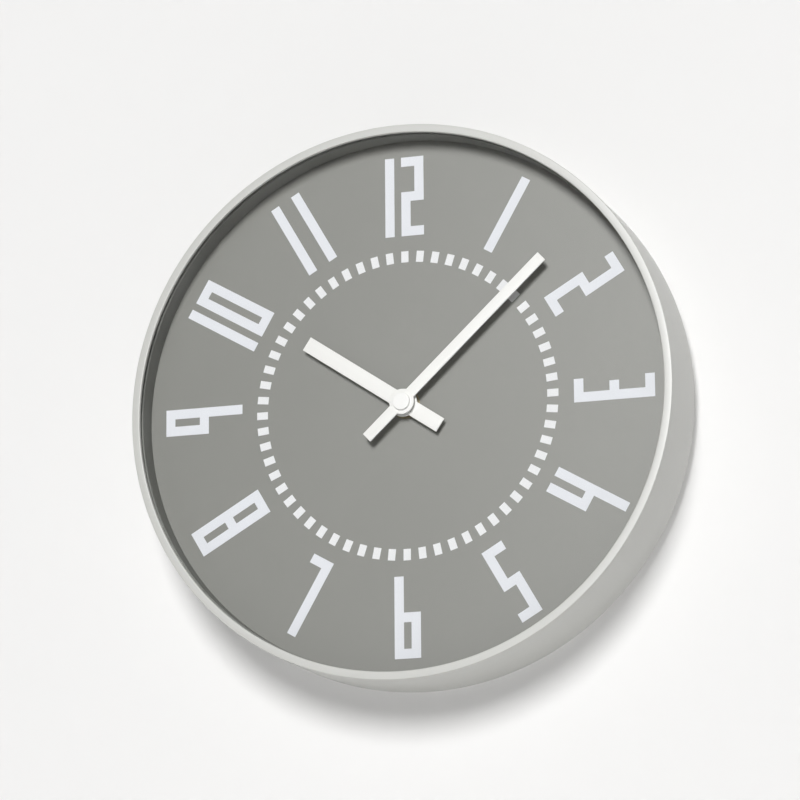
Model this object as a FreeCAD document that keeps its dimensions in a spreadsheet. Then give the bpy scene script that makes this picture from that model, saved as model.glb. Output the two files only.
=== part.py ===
"""A round wall clock: moulded case, flat lens, printed dial, two hands and a quartz movement.

The hands turn about the Y axis, the front faces -Y, +Z is up, and the origin lies on the hands'
axis in the plane of the wall. Heights are measured from the wall towards the front, so a height
of 10 is the plane y = -10. All sizes are in millimetres and degrees.
"""
import FreeCAD
import Part
import Sketcher
import math
import os

Vector = FreeCAD.Vector

# Driving sizes: name, value, what it is
TABLE = (
    ("case_radius", 127.0, "outside of the case"),
    ("case_depth", 49.0, "wall plane to front rim"),
    ("case_wall", 2.5, "side wall"),
    ("rim_edge", 0.3, "rounding of the rim's outer edge"),
    ("lip_radius", 123.3, "inner edge of the front rim"),
    ("lip_depth", 1.5, "thickness of the front rim"),
    ("lip_round", 0.4, "rounding of the rim's inner edge"),
    ("rear_round", 11.0, "rounding of the rear edge"),
    ("seam_height", 6.5, "seam between case and back cover, above the wall"),
    ("seam_gap", 0.15, "gap in that seam"),
    ("slip_gap", 0.2, "radial gap of what slides into the case"),
    ("snap_height", 14.0, "middle of the snap groove, above the wall"),
    ("snap_width", 1.2, "flat of the snap groove"),
    ("snap_depth", 0.7, "depth of the snap groove"),
    ("snap_gap", 0.2, "play of the snap bead in its groove"),
    ("lens_thick", 2.0, "lens"),
    ("lens_bevel", 0.3, "ground edge of the lens"),
    ("spacer_radius", 122.9, "inner wall seen round the dial"),
    ("dial_drop", 14.1, "dial face behind the front rim"),
    ("dial_thick", 1.5, "dial plate"),
    ("stack_gap", 0.1, "play between dial and back cover skirt"),
    ("skirt_wall", 2.4, "skirt of the back cover"),
    ("floor_thick", 2.2, "floor of the back cover"),
    ("floor_drop", 4.0, "floor sunk from the wall plane"),
    ("land_width", 12.0, "flat ring that lies on the wall"),
    ("land_slope", 1.0, "draft of the step from land to floor"),
    ("well_gap", 2.0, "room between movement and well"),
    ("well_wall", 1.6, "wall of the well"),
    ("well_corner", 5.0, "corner radius of the well"),
    ("well_end_gap", 1.0, "gap between well and dial"),
    ("rib_count", 8.0, "stiffening ribs in the back cover"),
    ("rib_thick", 1.6, "stiffening rib"),
    ("rib_height", 6.0, "stiffening rib above the floor"),
    ("rib_start", 52.0, "inner end of a rib, from the axis"),
    ("rib_angle", 22.5, "first rib, from the X axis"),
    ("hanger_inset", 2.0, "upper end of the hanger plate below the land"),
    ("hanger_rise", 8.0, "entry to the end of the slot"),
    ("hanger_entry_radius", 5.0, "entry for the screw's head"),
    ("hanger_slot_radius", 2.3, "half the slot's width"),
    ("hanger_thick", 1.2, "hanger plate"),
    ("hanger_half_width", 11.0, "half the hanger plate's width"),
    ("hanger_margin", 8.0, "plate beyond the screws"),
    ("hanger_screw_reach", 14.0, "screws from the middle of the plate"),
    ("hanger_window", 7.0, "half width of the floor's window behind the plate"),
    ("hanger_window_reach", 9.5, "half height of that window"),
    ("hanger_screw_radius", 1.25, "screw shank"),
    ("hanger_head_radius", 2.6, "screw head"),
    ("hanger_head_thick", 1.4, "screw head"),
    ("hanger_screw_length", 9.0, "screw shank"),
    ("hanger_boss_radius", 3.2, "boss for the screw"),
    ("hanger_boss_height", 9.5, "boss above the floor"),
    ("screw_gap", 0.05, "shank in its boss"),
    ("gasket_thick", 0.8, "rubber ring between dial and movement"),
    ("gasket_radius", 13.0, "rubber ring outside"),
    ("bush_radius", 4.0, "threaded bush outside"),
    ("bush_flange_radius", 5.5, "flange of the bush"),
    ("bush_reach", 2.6, "bush beyond the dial face"),
    ("dial_hole_gap", 0.2, "dial round the bush"),
    ("washer_radius", 6.6, "washer under the nut"),
    ("washer_thick", 0.4, "washer under the nut"),
    ("nut_flat", 11.0, "nut across flats"),
    ("nut_thick", 1.8, "nut"),
    ("move_width", 56.0, "movement, left to right and down"),
    ("move_above", 23.0, "movement above the hands' axis"),
    ("move_depth", 17.0, "movement, front to back"),
    ("move_wall", 1.2, "movement housing wall"),
    ("move_corner", 4.0, "movement corner radius"),
    ("cover_thick", 1.0, "movement's rear plate"),
    ("tab_width", 6.0, "housing tab that holds the rear plate"),
    ("tab_z", 2.0, "middle of the side tabs"),
    ("tab_gap", 0.15, "rear plate round a tab"),
    ("cell_radius", 7.1, "battery cell"),
    ("cell_length", 49.5, "battery cell without its button"),
    ("button_radius", 2.75, "battery button"),
    ("button_height", 1.0, "battery button"),
    ("cell_gap", 0.3, "play of the cell in its tray"),
    ("cell_z", -24.0, "middle of the cell"),
    ("cradle_gap", 0.15, "cradle ribs round the cell"),
    ("cradle_thick", 1.2, "cradle ribs of the tray"),
    ("cradle_reach", 12.0, "cradle ribs from the middle of the cell"),
    ("divider_gap", 0.4, "dividing wall beyond the cell's tray"),
    ("divider_thick", 1.0, "wall between cell and train"),
    ("contact_thick", 0.4, "battery contact strip"),
    ("contact_gap", 0.1, "rest gap at each end of the cell"),
    ("contact_low", 1.0, "contact strip above the tray's floor"),
    ("contact_high", 6.0, "contact strip above the cell's middle"),
    ("contact_front", 2.0, "contact strip behind the front wall"),
    ("plus_radius", 2.0, "contact boss at the cell's button"),
    ("minus_radius", 3.0, "contact boss at the cell's flat end"),
    ("pipe_gap", 0.05, "radial running gap of the hand pipes"),
    ("pivot_gap", 0.05, "radial running gap of the pivots"),
    ("hour_pipe_radius", 2.5, "hour pipe outside"),
    ("cannon_radius", 1.8, "minute tube outside"),
    ("seat_rim", 0.4, "seat of the centre wheel, beyond the minute tube and the wheel"),
    ("arbor_radius", 0.5, "train arbors"),
    ("pivot_end", 0.2, "front end of an arbor behind the front wall"),
    ("hour_face", 10.0, "hour hand's face behind the front rim"),
    ("minute_face", 7.4, "minute hand's face behind the front rim"),
    ("hand_thick", 0.6, "hands"),
    ("hour_width", 6.95, "hour hand"),
    ("hour_tip", 55.4, "hour hand, axis to tip"),
    ("hour_tail", 20.8, "hour hand, axis to tail end"),
    ("hour_hub", 6.4, "hour hand's hub radius"),
    ("hour_collet", 3.6, "hour hand's collet radius"),
    ("hour_collet_length", 0.7, "hour hand's collet"),
    ("minute_width", 5.1, "minute hand"),
    ("minute_tip", 90.4, "minute hand, axis to tip"),
    ("minute_tail", 22.7, "minute hand, axis to tail end"),
    ("minute_hub", 5.8, "minute hand's hub radius"),
    ("minute_collet", 3.0, "minute hand's collet radius"),
    ("minute_collet_length", 1.2, "minute hand's collet"),
    ("cap_radius", 4.0, "boss on the minute hand"),
    ("cap_height", 1.1, "boss on the minute hand"),
    ("cap_round", 0.35, "edge of the boss"),
    ("hour_angle", 304.1, "hour hand at rest, clockwise from twelve"),
    ("minute_angle", 47.1, "minute hand at rest, clockwise from twelve"),
    ("cannon_teeth", 10.0, "pinion on the minute tube"),
    ("motion_teeth", 30.0, "motion wheel"),
    ("motion_leaves", 8.0, "pinion of the motion wheel"),
    ("hour_teeth", 32.0, "hour wheel"),
    ("centre_teeth", 64.0, "centre wheel"),
    ("third_leaves", 8.0, "pinion of the third wheel"),
    ("third_teeth", 60.0, "third wheel"),
    ("seconds_leaves", 8.0, "pinion of the seconds wheel"),
    ("seconds_teeth", 60.0, "seconds wheel"),
    ("intermediate_leaves", 10.0, "pinion of the intermediate wheel"),
    ("intermediate_teeth", 60.0, "intermediate wheel"),
    ("rotor_leaves", 12.0, "pinion of the rotor"),
    ("setting_leaves", 12.0, "gear of the setting arbor"),
    ("motion_distance", 10.0, "hands' axis to motion wheel"),
    ("motion_angle", 60.0, "direction of the motion wheel"),
    ("third_distance", 10.8, "hands' axis to third wheel"),
    ("third_angle", 150.0, "direction of the third wheel"),
    ("intermediate_distance", 11.2, "hands' axis to intermediate wheel"),
    ("intermediate_angle", -25.0, "direction of the intermediate wheel"),
    ("rotor_distance", 9.0, "intermediate wheel to rotor"),
    ("rotor_angle", 71.5, "direction of the rotor from there"),
    ("setting_distance", 10.5, "motion wheel to setting arbor"),
    ("setting_angle", 20.0, "direction of the setting arbor from there"),
    ("wheel_thick", 1.0, "wheels of the going train"),
    ("motion_thick", 1.2, "wheels of the motion work"),
    ("hour_layer", 1.5, "front of the hour wheel, behind the movement's front"),
    ("motion_layer", 3.1, "front of the motion wheel"),
    ("centre_layer", 5.0, "front of the centre wheel"),
    ("third_layer", 7.0, "front of the third wheel"),
    ("seconds_layer", 9.0, "front of the seconds wheel"),
    ("intermediate_layer", 11.0, "front of the intermediate wheel"),
    ("leaf_overlap", 0.3, "pinion beyond each side of its wheel"),
    ("face_gap", 0.1, "motion pinion behind the hour wheel's face"),
    ("motion_post_radius", 0.75, "post of the motion wheel"),
    ("train_post_radius", 1.1, "posts of the front pivots"),
    ("setting_post_radius", 1.6, "post of the setting arbor"),
    ("post_gap", 0.2, "post short of what turns behind it"),
    ("magnet_radius", 3.0, "rotor magnet"),
    ("magnet_layer", 12.7, "front of the magnet"),
    ("magnet_thick", 1.9, "rotor magnet"),
    ("stator_hole_radius", 3.5, "hole round the magnet"),
    ("stator_layer", 13.1, "front of the stator"),
    ("lamina_thick", 1.0, "stator and coil core"),
    ("stator_bar", 4.4, "half height of the stator's bar"),
    ("stator_leg", 2.4, "width of a stator leg"),
    ("coil_inset", 3.6, "middle of the coil below the housing's inside"),
    ("coil_left", 3.5, "left end post of the core"),
    ("coil_right", 24.5, "right end post of the core"),
    ("coil_radius", 3.1, "winding outside"),
    ("bobbin_radius", 3.3, "bobbin flange"),
    ("bobbin_tube_radius", 1.7, "bobbin tube"),
    ("bobbin_flange", 0.7, "bobbin flange thickness"),
    ("bobbin_inset", 1.9, "bobbin inside the end posts"),
    ("core_half_width", 1.2, "half width of the coil core"),
    ("core_post_radius", 1.2, "posts that carry the core"),
    ("bridge_layer", 15.0, "front of the train bridge"),
    ("bridge_top", 10.0, "upper edge of the train bridge"),
    ("bridge_left", -26.0, "left edge of the train bridge"),
    ("bridge_corner", 1.5, "corners of the train bridge"),
    ("bridge_post_radius", 1.4, "posts of the train bridge"),
    ("post_inset", 2.0, "middle of a post from the edge of its plate"),
    ("edge_gap", 0.2, "play round a plate or the cell's opening"),
    ("board_layer", 13.2, "front of the circuit board"),
    ("board_left", -26.3, "circuit board"),
    ("board_right", -5.0, "circuit board"),
    ("board_inset", 0.4, "circuit board below the housing's inside"),
    ("board_height", 9.8, "circuit board"),
    ("board_thick", 1.0, "circuit board"),
    ("board_post_radius", 1.2, "posts of the circuit board"),
    ("crystal_radius", 0.75, "crystal can"),
    ("crystal_length", 6.0, "crystal can"),
    ("crystal_left", 5.0, "crystal from the board's left edge"),
    ("crystal_drop", 3.0, "crystal below the board's upper edge"),
    ("chip_side", 4.0, "chip"),
    ("chip_thick", 0.9, "chip"),
    ("chip_right", 3.0, "chip from the board's right edge"),
    ("chip_low", 2.0, "chip above the board's lower edge"),
    ("setting_shaft_radius", 1.25, "setting arbor"),
    ("knob_radius", 5.5, "setting knob"),
    ("knob_thick", 3.0, "setting knob"),
    ("knob_gap", 0.4, "setting knob behind the cover"),
    ("knob_grooves", 18.0, "grooves round the knob"),
    ("knob_groove_radius", 0.45, "grooves round the knob"),
)

# Tooth forms in modules: depth below the pitch circle, height above it, width there, width at the tip
WHEEL_FORM = (1.6, 1.1, 1.45, 0.5)
PINION_FORM = (1.5, 0.75, 1.05, 0.45)


class Size:
    """A size as a formula of the sheet's names and as the number it gives."""

    def __init__(self, text, value):
        self.text = text
        self.value = float(value)

    def join(self, sign, other, value):
        return Size("(%s %s %s)" % (self.text, sign, other.text), value)

    def __add__(self, other):
        other = size(other)
        return self.join("+", other, self.value + other.value)

    def __sub__(self, other):
        other = size(other)
        return self.join("-", other, self.value - other.value)

    def __mul__(self, other):
        other = size(other)
        return self.join("*", other, self.value * other.value)

    def __truediv__(self, other):
        other = size(other)
        return self.join("/", other, self.value / other.value)

    def __rsub__(self, other):
        return size(other) - self

    def __neg__(self):
        return Size("(0 - %s)" % self.text, -self.value)


def size(value):
    """A plain number as a Size."""
    return value if isinstance(value, Size) else Size(repr(float(value)), value)


def root(value):
    """The square root of a Size."""
    return Size("sqrt(%s)" % value.text, math.sqrt(value.value))


def cosine(angle):
    """The cosine of a Size in degrees."""
    return Size("cos(%s)" % angle.text, math.cos(math.radians(angle.value)))


def sine(angle):
    """The sine of a Size in degrees."""
    return Size("sin(%s)" % angle.text, math.sin(math.radians(angle.value)))


class Sheet:
    """The spreadsheet, with each driving size as an attribute."""

    def __init__(self, doc):
        cells = doc.addObject("Spreadsheet::Sheet", "Sizes")
        for row, (name, value, note) in enumerate(TABLE, 1):
            cells.set("A%d" % row, name)
            cells.set("B%d" % row, repr(value))
            cells.set("C%d" % row, note)
            cells.setAlias("B%d" % row, name)
        doc.recompute()
        for name, _, _ in TABLE:
            setattr(self, name, Size("Sizes." + name, cells.get(name)))


doc = FreeCAD.newDocument("station_clock")
s = Sheet(doc)

# Heights above the wall, from the front rim back
lens_front = s.case_depth - s.lip_depth
lens_back = lens_front - s.lens_thick
dial_front = s.case_depth - s.dial_drop
dial_back = dial_front - s.dial_thick
move_front = dial_back - s.gasket_thick
move_back = move_front - s.move_depth
cover_front = move_back + s.cover_thick
floor_inside = s.floor_drop + s.floor_thick
hour_top = s.case_depth - s.hour_face
minute_top = s.case_depth - s.minute_face

# Radii and edges that several pieces share
case_bore = s.case_radius - s.case_wall
stack_radius = case_bore - s.slip_gap
land_outer = s.case_radius - s.rear_round
land_inner = land_outer - s.land_width
hanger_end = s.hanger_screw_reach + s.hanger_margin
hanger_middle = land_inner - s.hanger_inset - hanger_end
hanger_entry_z = hanger_middle - s.hanger_rise / 2
half_move = s.move_width / 2
move_low = s.move_above - s.move_width
hour_bore = s.cannon_radius + s.pipe_gap
seat_radius = s.cannon_radius + s.seat_rim
pivot_bore = s.arbor_radius + s.pivot_gap
bush_bore = s.hour_pipe_radius + s.pipe_gap
inner_side = half_move - s.move_wall
inner_top = s.move_above - s.move_wall
inner_low = move_low + s.move_wall
coil_z = inner_top - s.coil_inset
board_high = inner_top - s.board_inset
board_low = board_high - s.board_height
divider_low = s.cell_z + s.cell_radius + s.cell_gap + s.divider_gap
divider_high = divider_low + s.divider_thick
cell_low = s.cell_z - s.cell_radius - s.cell_gap
cell_layer = s.move_wall + s.cell_gap + s.cell_radius

# How far a cut runs past the surface that it opens
PAST = size(1)


def layer(depth):
    """The height of a plane inside the movement, given its depth behind the movement's front."""
    return move_front - depth


def place(origin, distance, angle):
    """The point at a distance and direction from another, as two Sizes."""
    return (origin[0] + distance * cosine(angle), origin[1] + distance * sine(angle))


CENTRE = (size(0), size(0))
MOTION = place(CENTRE, s.motion_distance, s.motion_angle)
THIRD = place(CENTRE, s.third_distance, s.third_angle)
INTERMEDIATE = place(CENTRE, s.intermediate_distance, s.intermediate_angle)
ROTOR = place(INTERMEDIATE, s.rotor_distance, s.rotor_angle)
SETTING = place(MOTION, s.setting_distance, s.setting_angle)


# Sketches and features

def new_body(label):
    """An empty body whose label names the sub-part."""
    body = doc.addObject("PartDesign::Body", label)
    body.Label = label
    return body


def origin_part(body, role):
    """A plane or axis of the body's own origin."""
    return next(f for f in body.Origin.OriginFeatures if f.Role == role)


def new_sketch(body, name, role="XZ_Plane", offset=None):
    """A sketch on an origin plane, moved along the plane's normal by offset."""
    sketch = body.newObject("Sketcher::SketchObject", name)
    sketch.AttachmentSupport = [(origin_part(body, role), "")]
    sketch.MapMode = "FlatFace"
    if offset is not None:
        sketch.setExpression("AttachmentOffset.Base.z", offset.text)
    return sketch


def hold(sketch, kind, geometry, point, value):
    """Fix one coordinate of a sketch point, measured from the sketch's origin."""
    if abs(value.value) < 1e-9:
        axis = -2 if kind == "DistanceX" else -1
        sketch.addConstraint(Sketcher.Constraint("PointOnObject", geometry, point, axis))
        return
    if value.value > 0:
        rule = Sketcher.Constraint(kind, -1, 1, geometry, point, value.value)
    else:
        value = -value
        rule = Sketcher.Constraint(kind, geometry, point, -1, 1, value.value)
    index = sketch.addConstraint(rule)
    sketch.setExpression("Constraints[%d]" % index, value.text)


def arc_edge(start, end, centre):
    """The shorter arc between two points, and which of its ends lies at the start."""
    first = math.atan2(start.y - centre.y, start.x - centre.x)
    last = math.atan2(end.y - centre.y, end.x - centre.x)
    circle = Part.Circle(centre, Vector(0, 0, 1), start.distanceToPoint(centre))
    if (last - first) % (2 * math.pi) <= math.pi + 1e-9:
        return Part.ArcOfCircle(circle, first, first + (last - first) % (2 * math.pi)), 1
    return Part.ArcOfCircle(circle, last, last + (first - last) % (2 * math.pi)), 2


def outline(sketch, corners, arcs=None):
    """A closed outline through the corners; arcs maps an edge's number to its centre."""
    arcs = arcs or {}
    points = [Vector(x.value, y.value, 0) for x, y in corners]
    ends = []
    for index, start in enumerate(points):
        end = points[(index + 1) % len(points)]
        if index in arcs:
            cx, cy = arcs[index]
            edge, near = arc_edge(start, end, Vector(cx.value, cy.value, 0))
        else:
            edge, near = Part.LineSegment(start, end), 1
        ends.append((sketch.addGeometry(edge, False), near))
    for index, (edge, near) in enumerate(ends):
        last_edge, last_near = ends[index - 1]
        far = 3 - last_near
        sketch.addConstraint(Sketcher.Constraint("Coincident", last_edge, far, edge, near))
        x, y = corners[index]
        hold(sketch, "DistanceX", edge, near, x)
        hold(sketch, "DistanceY", edge, near, y)
        if index in arcs:
            run = points[(index + 1) % len(points)] - points[index]
            if abs(run.x) > abs(run.y):
                hold(sketch, "DistanceY", edge, 3, arcs[index][1])
            else:
                hold(sketch, "DistanceX", edge, 3, arcs[index][0])


def circle(sketch, x, y, radius):
    """A full circle."""
    shape = Part.Circle(Vector(x.value, y.value, 0), Vector(0, 0, 1), radius.value)
    index = sketch.addGeometry(shape, False)
    hold(sketch, "DistanceX", index, 3, x)
    hold(sketch, "DistanceY", index, 3, y)
    rule = sketch.addConstraint(Sketcher.Constraint("Radius", index, radius.value))
    sketch.setExpression("Constraints[%d]" % rule, radius.text)


def box(sketch, left, right, low, high):
    """A rectangle."""
    outline(sketch, [(left, low), (right, low), (right, high), (left, high)])


def rounded_box(sketch, left, right, low, high, radius):
    """A rectangle with round corners."""
    l, r, b, t = left + radius, right - radius, low + radius, high - radius
    corners = [(l, low), (r, low), (right, b), (right, t), (r, high), (l, high), (left, t), (left, b)]
    arcs = {1: (r, b), 3: (r, t), 5: (l, t), 7: (l, b)}
    outline(sketch, corners, arcs)


def pad(body, sketch, length):
    """Add the sketch's area along its normal."""
    feature = body.newObject("PartDesign::Pad", "Pad")
    feature.Profile = sketch
    feature.setExpression("Length", length.text)
    return feature


def pocket(body, sketch, length):
    """Cut the sketch's area against its normal."""
    feature = body.newObject("PartDesign::Pocket", "Pocket")
    feature.Profile = sketch
    feature.setExpression("Length", length.text)
    return feature


def raised(body, draw, low, high):
    """A pad between two heights, with its area drawn by draw(sketch)."""
    sketch = new_sketch(body, "Raised", "XZ_Plane", low)
    draw(sketch)
    return pad(body, sketch, high - low)


def sunk(body, draw, low, high):
    """A pocket between two heights, with its area drawn by draw(sketch)."""
    sketch = new_sketch(body, "Sunk", "XZ_Plane", high)
    draw(sketch)
    return pocket(body, sketch, high - low)


def across(body, draw, left, right):
    """A pad between two planes across X; the sketch's own axes are Y and Z."""
    sketch = new_sketch(body, "Across", "YZ_Plane", left)
    draw(sketch)
    return pad(body, sketch, right - left)


def turned(body, corners, arcs=None):
    """A solid of revolution about the hands' axis from (radius, height) corners."""
    sketch = new_sketch(body, "Profile", "XY_Plane")
    flipped = {edge: (x, -y) for edge, (x, y) in (arcs or {}).items()}
    outline(sketch, [(x, -y) for x, y in corners], flipped)
    feature = body.newObject("PartDesign::Revolution", "Revolution")
    feature.Profile = sketch
    feature.ReferenceAxis = (sketch, ["V_Axis"])
    feature.Angle = 360
    return feature


def spread(body, feature, count):
    """Repeat a feature evenly round the hands' axis."""
    pattern = body.newObject("PartDesign::PolarPattern", "Pattern")
    pattern.Originals = [feature]
    pattern.Axis = (origin_part(body, "Y_Axis"), [""])
    pattern.Angle = 360
    pattern.setExpression("Occurrences", count.text)
    body.Tip = pattern
    return pattern


def turn_piece(piece, angle):
    """Turn a finished piece clockwise from twelve, seen from the front."""
    piece.Placement = FreeCAD.Placement(Vector(), FreeCAD.Rotation(Vector(0, 1, 0), angle.value))
    piece.setExpression("Placement.Rotation.Angle", angle.text)


# Toothed pieces, from plain solids

def upright(centre, radius, low, high):
    """A cylinder between two heights."""
    base = Vector(centre[0].value, -low.value, centre[1].value)
    return Part.makeCylinder(radius, high.value - low.value, base, Vector(0, -1, 0))


def toothed(centre, teeth, module, form, phase, low, high):
    """A toothed disc between two heights, with one tooth's middle at the angle phase."""
    below, above, wide, tip = form
    pitch = teeth * module / 2
    rings = (
        (pitch - below * module, wide * module / (2 * pitch)),
        (pitch, wide * module / (2 * pitch)),
        (pitch + above * module, tip * module / (2 * (pitch + above * module))),
    )
    corners = []
    for tooth in range(int(teeth)):
        middle = phase + 2 * math.pi * tooth / teeth
        flank = [(r, middle - half) for r, half in rings]
        flank += [(r, middle + half) for r, half in reversed(rings)]
        for radius, angle in flank:
            x = centre[0].value + radius * math.cos(angle)
            z = centre[1].value + radius * math.sin(angle)
            corners.append(Vector(x, -low.value, z))
    face = Part.Face(Part.makePolygon(corners + corners[:1]))
    return face.extrude(Vector(0, low.value - high.value, 0))


def direction(start, end):
    """The angle of the line from one centre to another."""
    return math.atan2(end[1].value - start[1].value, end[0].value - start[0].value)


def meshed_phase(wheel, wheel_teeth, wheel_phase, pinion, leaves):
    """The pinion's phase that puts the wheel's tooth in its gap."""
    line = direction(wheel, pinion)
    pitch = 2 * math.pi / wheel_teeth
    ahead = (wheel_phase - line + pitch / 2) % pitch - pitch / 2
    return line + math.pi - ahead * wheel_teeth / leaves + math.pi / leaves


def module_of(distance, teeth, leaves):
    """The module at which two gears mesh over a centre distance."""
    return 2 * distance.value / (teeth.value + leaves.value)


def solid_piece(label, shape):
    """A named sub-part from a finished shape."""
    piece = doc.addObject("Part::Feature", label)
    piece.Label = label
    piece.Shape = shape.removeSplitter()
    return piece


# Case and front

def make_case():
    """Front rim, side wall and the first part of the rounded rear edge, moulded in one."""
    body = new_body("case")
    reach = s.rear_round - s.seam_height
    seam_radius = land_outer + root(s.rear_round * s.rear_round - reach * reach)
    groove = case_bore + s.snap_depth
    half, run = s.snap_width / 2, s.snap_width / 2 + s.snap_depth
    corners = [
        (s.lip_radius + s.lip_round, s.case_depth),
        (s.case_radius - s.rim_edge, s.case_depth),
        (s.case_radius, s.case_depth - s.rim_edge),
        (s.case_radius, s.rear_round),
        (seam_radius, s.seam_height),
        (case_bore, s.seam_height),
        (case_bore, s.snap_height - run),
        (groove, s.snap_height - half),
        (groove, s.snap_height + half),
        (case_bore, s.snap_height + run),
        (case_bore, lens_front),
        (s.lip_radius, lens_front),
        (s.lip_radius, s.case_depth - s.lip_round),
    ]
    arcs = {
        1: (s.case_radius - s.rim_edge, s.case_depth - s.rim_edge),
        3: (land_outer, s.rear_round),
        12: (s.lip_radius + s.lip_round, s.case_depth - s.lip_round),
    }
    turned(body, corners, arcs)


def make_lens():
    """Flat pane behind the rim, with a ground edge."""
    body = new_body("lens")
    edge = stack_radius - s.lens_bevel
    turned(body, [
        (size(0), lens_back),
        (edge, lens_back),
        (stack_radius, lens_back + s.lens_bevel),
        (stack_radius, lens_front - s.lens_bevel),
        (edge, lens_front),
        (size(0), lens_front),
    ])


def make_spacer():
    """Inner wall that keeps the lens off the dial."""
    body = new_body("spacer_ring")
    turned(body, [
        (s.spacer_radius, dial_front),
        (stack_radius, dial_front),
        (stack_radius, lens_back),
        (s.spacer_radius, lens_back),
    ])


def make_dial():
    """Plate that carries the print and the movement."""
    body = new_body("dial_plate")
    hole = s.bush_radius + s.dial_hole_gap
    turned(body, [
        (hole, dial_back),
        (stack_radius, dial_back),
        (stack_radius, dial_front),
        (hole, dial_front),
    ])


def make_back_cover():
    """Rear shell: rest of the rounded edge, land, sunk floor, skirt, well, ribs and hanger seat."""
    body = new_body("back_cover")
    seam = s.seam_height - s.seam_gap
    reach = s.rear_round - seam
    seam_radius = land_outer + root(s.rear_round * s.rear_round - reach * reach)
    skirt_top = dial_back - s.stack_gap
    skirt_bore = stack_radius - s.skirt_wall
    bead = stack_radius + s.snap_depth
    half = s.snap_width / 2 - s.snap_gap
    run = half + s.snap_depth
    inner_round = s.rear_round - s.floor_thick
    corners = [
        (size(0), s.floor_drop),
        (land_inner - s.land_slope, s.floor_drop),
        (land_inner, size(0)),
        (land_outer, size(0)),
        (seam_radius, seam),
        (stack_radius, seam),
        (stack_radius, s.snap_height - run),
        (bead, s.snap_height - half),
        (bead, s.snap_height + half),
        (stack_radius, s.snap_height + run),
        (stack_radius, skirt_top),
        (skirt_bore, skirt_top),
        (skirt_bore, s.rear_round),
        (skirt_bore - inner_round, s.floor_thick),
        (land_inner + s.floor_thick, s.floor_thick),
        (land_inner + s.floor_thick - s.land_slope, floor_inside),
        (size(0), floor_inside),
    ]
    arcs = {
        3: (land_outer, s.rear_round),
        12: (skirt_bore - inner_round, s.rear_round),
    }
    turned(body, corners, arcs)

    rib_top = floor_inside + s.rib_height
    half_rib = s.rib_thick / 2
    rib_end = skirt_bore + s.skirt_wall / 2
    sketch = new_sketch(body, "Rib", "XZ_Plane", floor_inside - s.floor_thick / 2)
    c, n = cosine(s.rib_angle), sine(s.rib_angle)
    outline(sketch, [
        (s.rib_start * c + half_rib * n, s.rib_start * n - half_rib * c),
        (rib_end * c + half_rib * n, rib_end * n - half_rib * c),
        (rib_end * c - half_rib * n, rib_end * n + half_rib * c),
        (s.rib_start * c - half_rib * n, s.rib_start * n + half_rib * c),
    ])
    rib = pad(body, sketch, rib_top - floor_inside + s.floor_thick / 2)
    spread(body, rib, s.rib_count)

    inner = half_move + s.well_gap
    outer = inner + s.well_wall
    low, high = move_low - s.well_gap, s.move_above + s.well_gap
    well_top = dial_back - s.well_end_gap
    corner = s.well_corner + s.well_wall
    raised(body, lambda k: rounded_box(k, -outer, outer, low - s.well_wall, high + s.well_wall, corner),
           floor_inside - s.floor_thick / 2, well_top)
    sunk(body, lambda k: rounded_box(k, -inner, inner, low, high, s.well_corner),
         size(0), well_top + PAST)

    middle = hanger_middle
    screws = (middle - s.hanger_screw_reach, middle + s.hanger_screw_reach)
    for z in screws:
        raised(body, lambda k, z=z: circle(k, size(0), z, s.hanger_boss_radius),
               floor_inside - s.floor_thick / 2, floor_inside + s.hanger_boss_height)
    for z in screws:
        sunk(body, lambda k, z=z: circle(k, size(0), z, s.hanger_screw_radius + s.screw_gap),
             size(0), s.floor_drop + s.hanger_screw_length + s.screw_gap)
    sunk(body, lambda k: rounded_box(k, -s.hanger_window, s.hanger_window,
                                     middle - s.hanger_window_reach, middle + s.hanger_window_reach,
                                     s.hanger_window / 2),
         size(0), floor_inside + PAST)


def make_hanger():
    """Steel plate with the keyhole that hangs on a wall screw, and its two screws."""
    body = new_body("hanger_plate")
    back = s.floor_drop - s.hanger_thick
    middle = hanger_middle
    end = hanger_end
    wide = s.hanger_half_width
    raised(body, lambda k: rounded_box(k, -wide, wide, middle - end, middle + end, wide / 2),
           back, s.floor_drop)
    narrow = s.hanger_slot_radius
    entry = s.hanger_entry_radius
    neck = hanger_entry_z + root(entry * entry - narrow * narrow)
    top = hanger_entry_z + s.hanger_rise

    def keyhole(sketch):
        outline(sketch, [(narrow, neck), (narrow, top), (-narrow, top), (-narrow, neck),
                         (size(0), hanger_entry_z - entry)],
                {1: (size(0), top), 3: (size(0), hanger_entry_z), 4: (size(0), hanger_entry_z)})

    sunk(body, keyhole, size(0), s.floor_drop + PAST)
    for z in (middle - s.hanger_screw_reach, middle + s.hanger_screw_reach):
        sunk(body, lambda k, z=z: circle(k, size(0), z, s.hanger_screw_radius + s.screw_gap),
             size(0), s.floor_drop + PAST)

    group = doc.addObject("Part::Compound", "hanger_screws")
    group.Links = [
        make_screw("low", middle - s.hanger_screw_reach, back),
        make_screw("high", middle + s.hanger_screw_reach, back),
    ]


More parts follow.
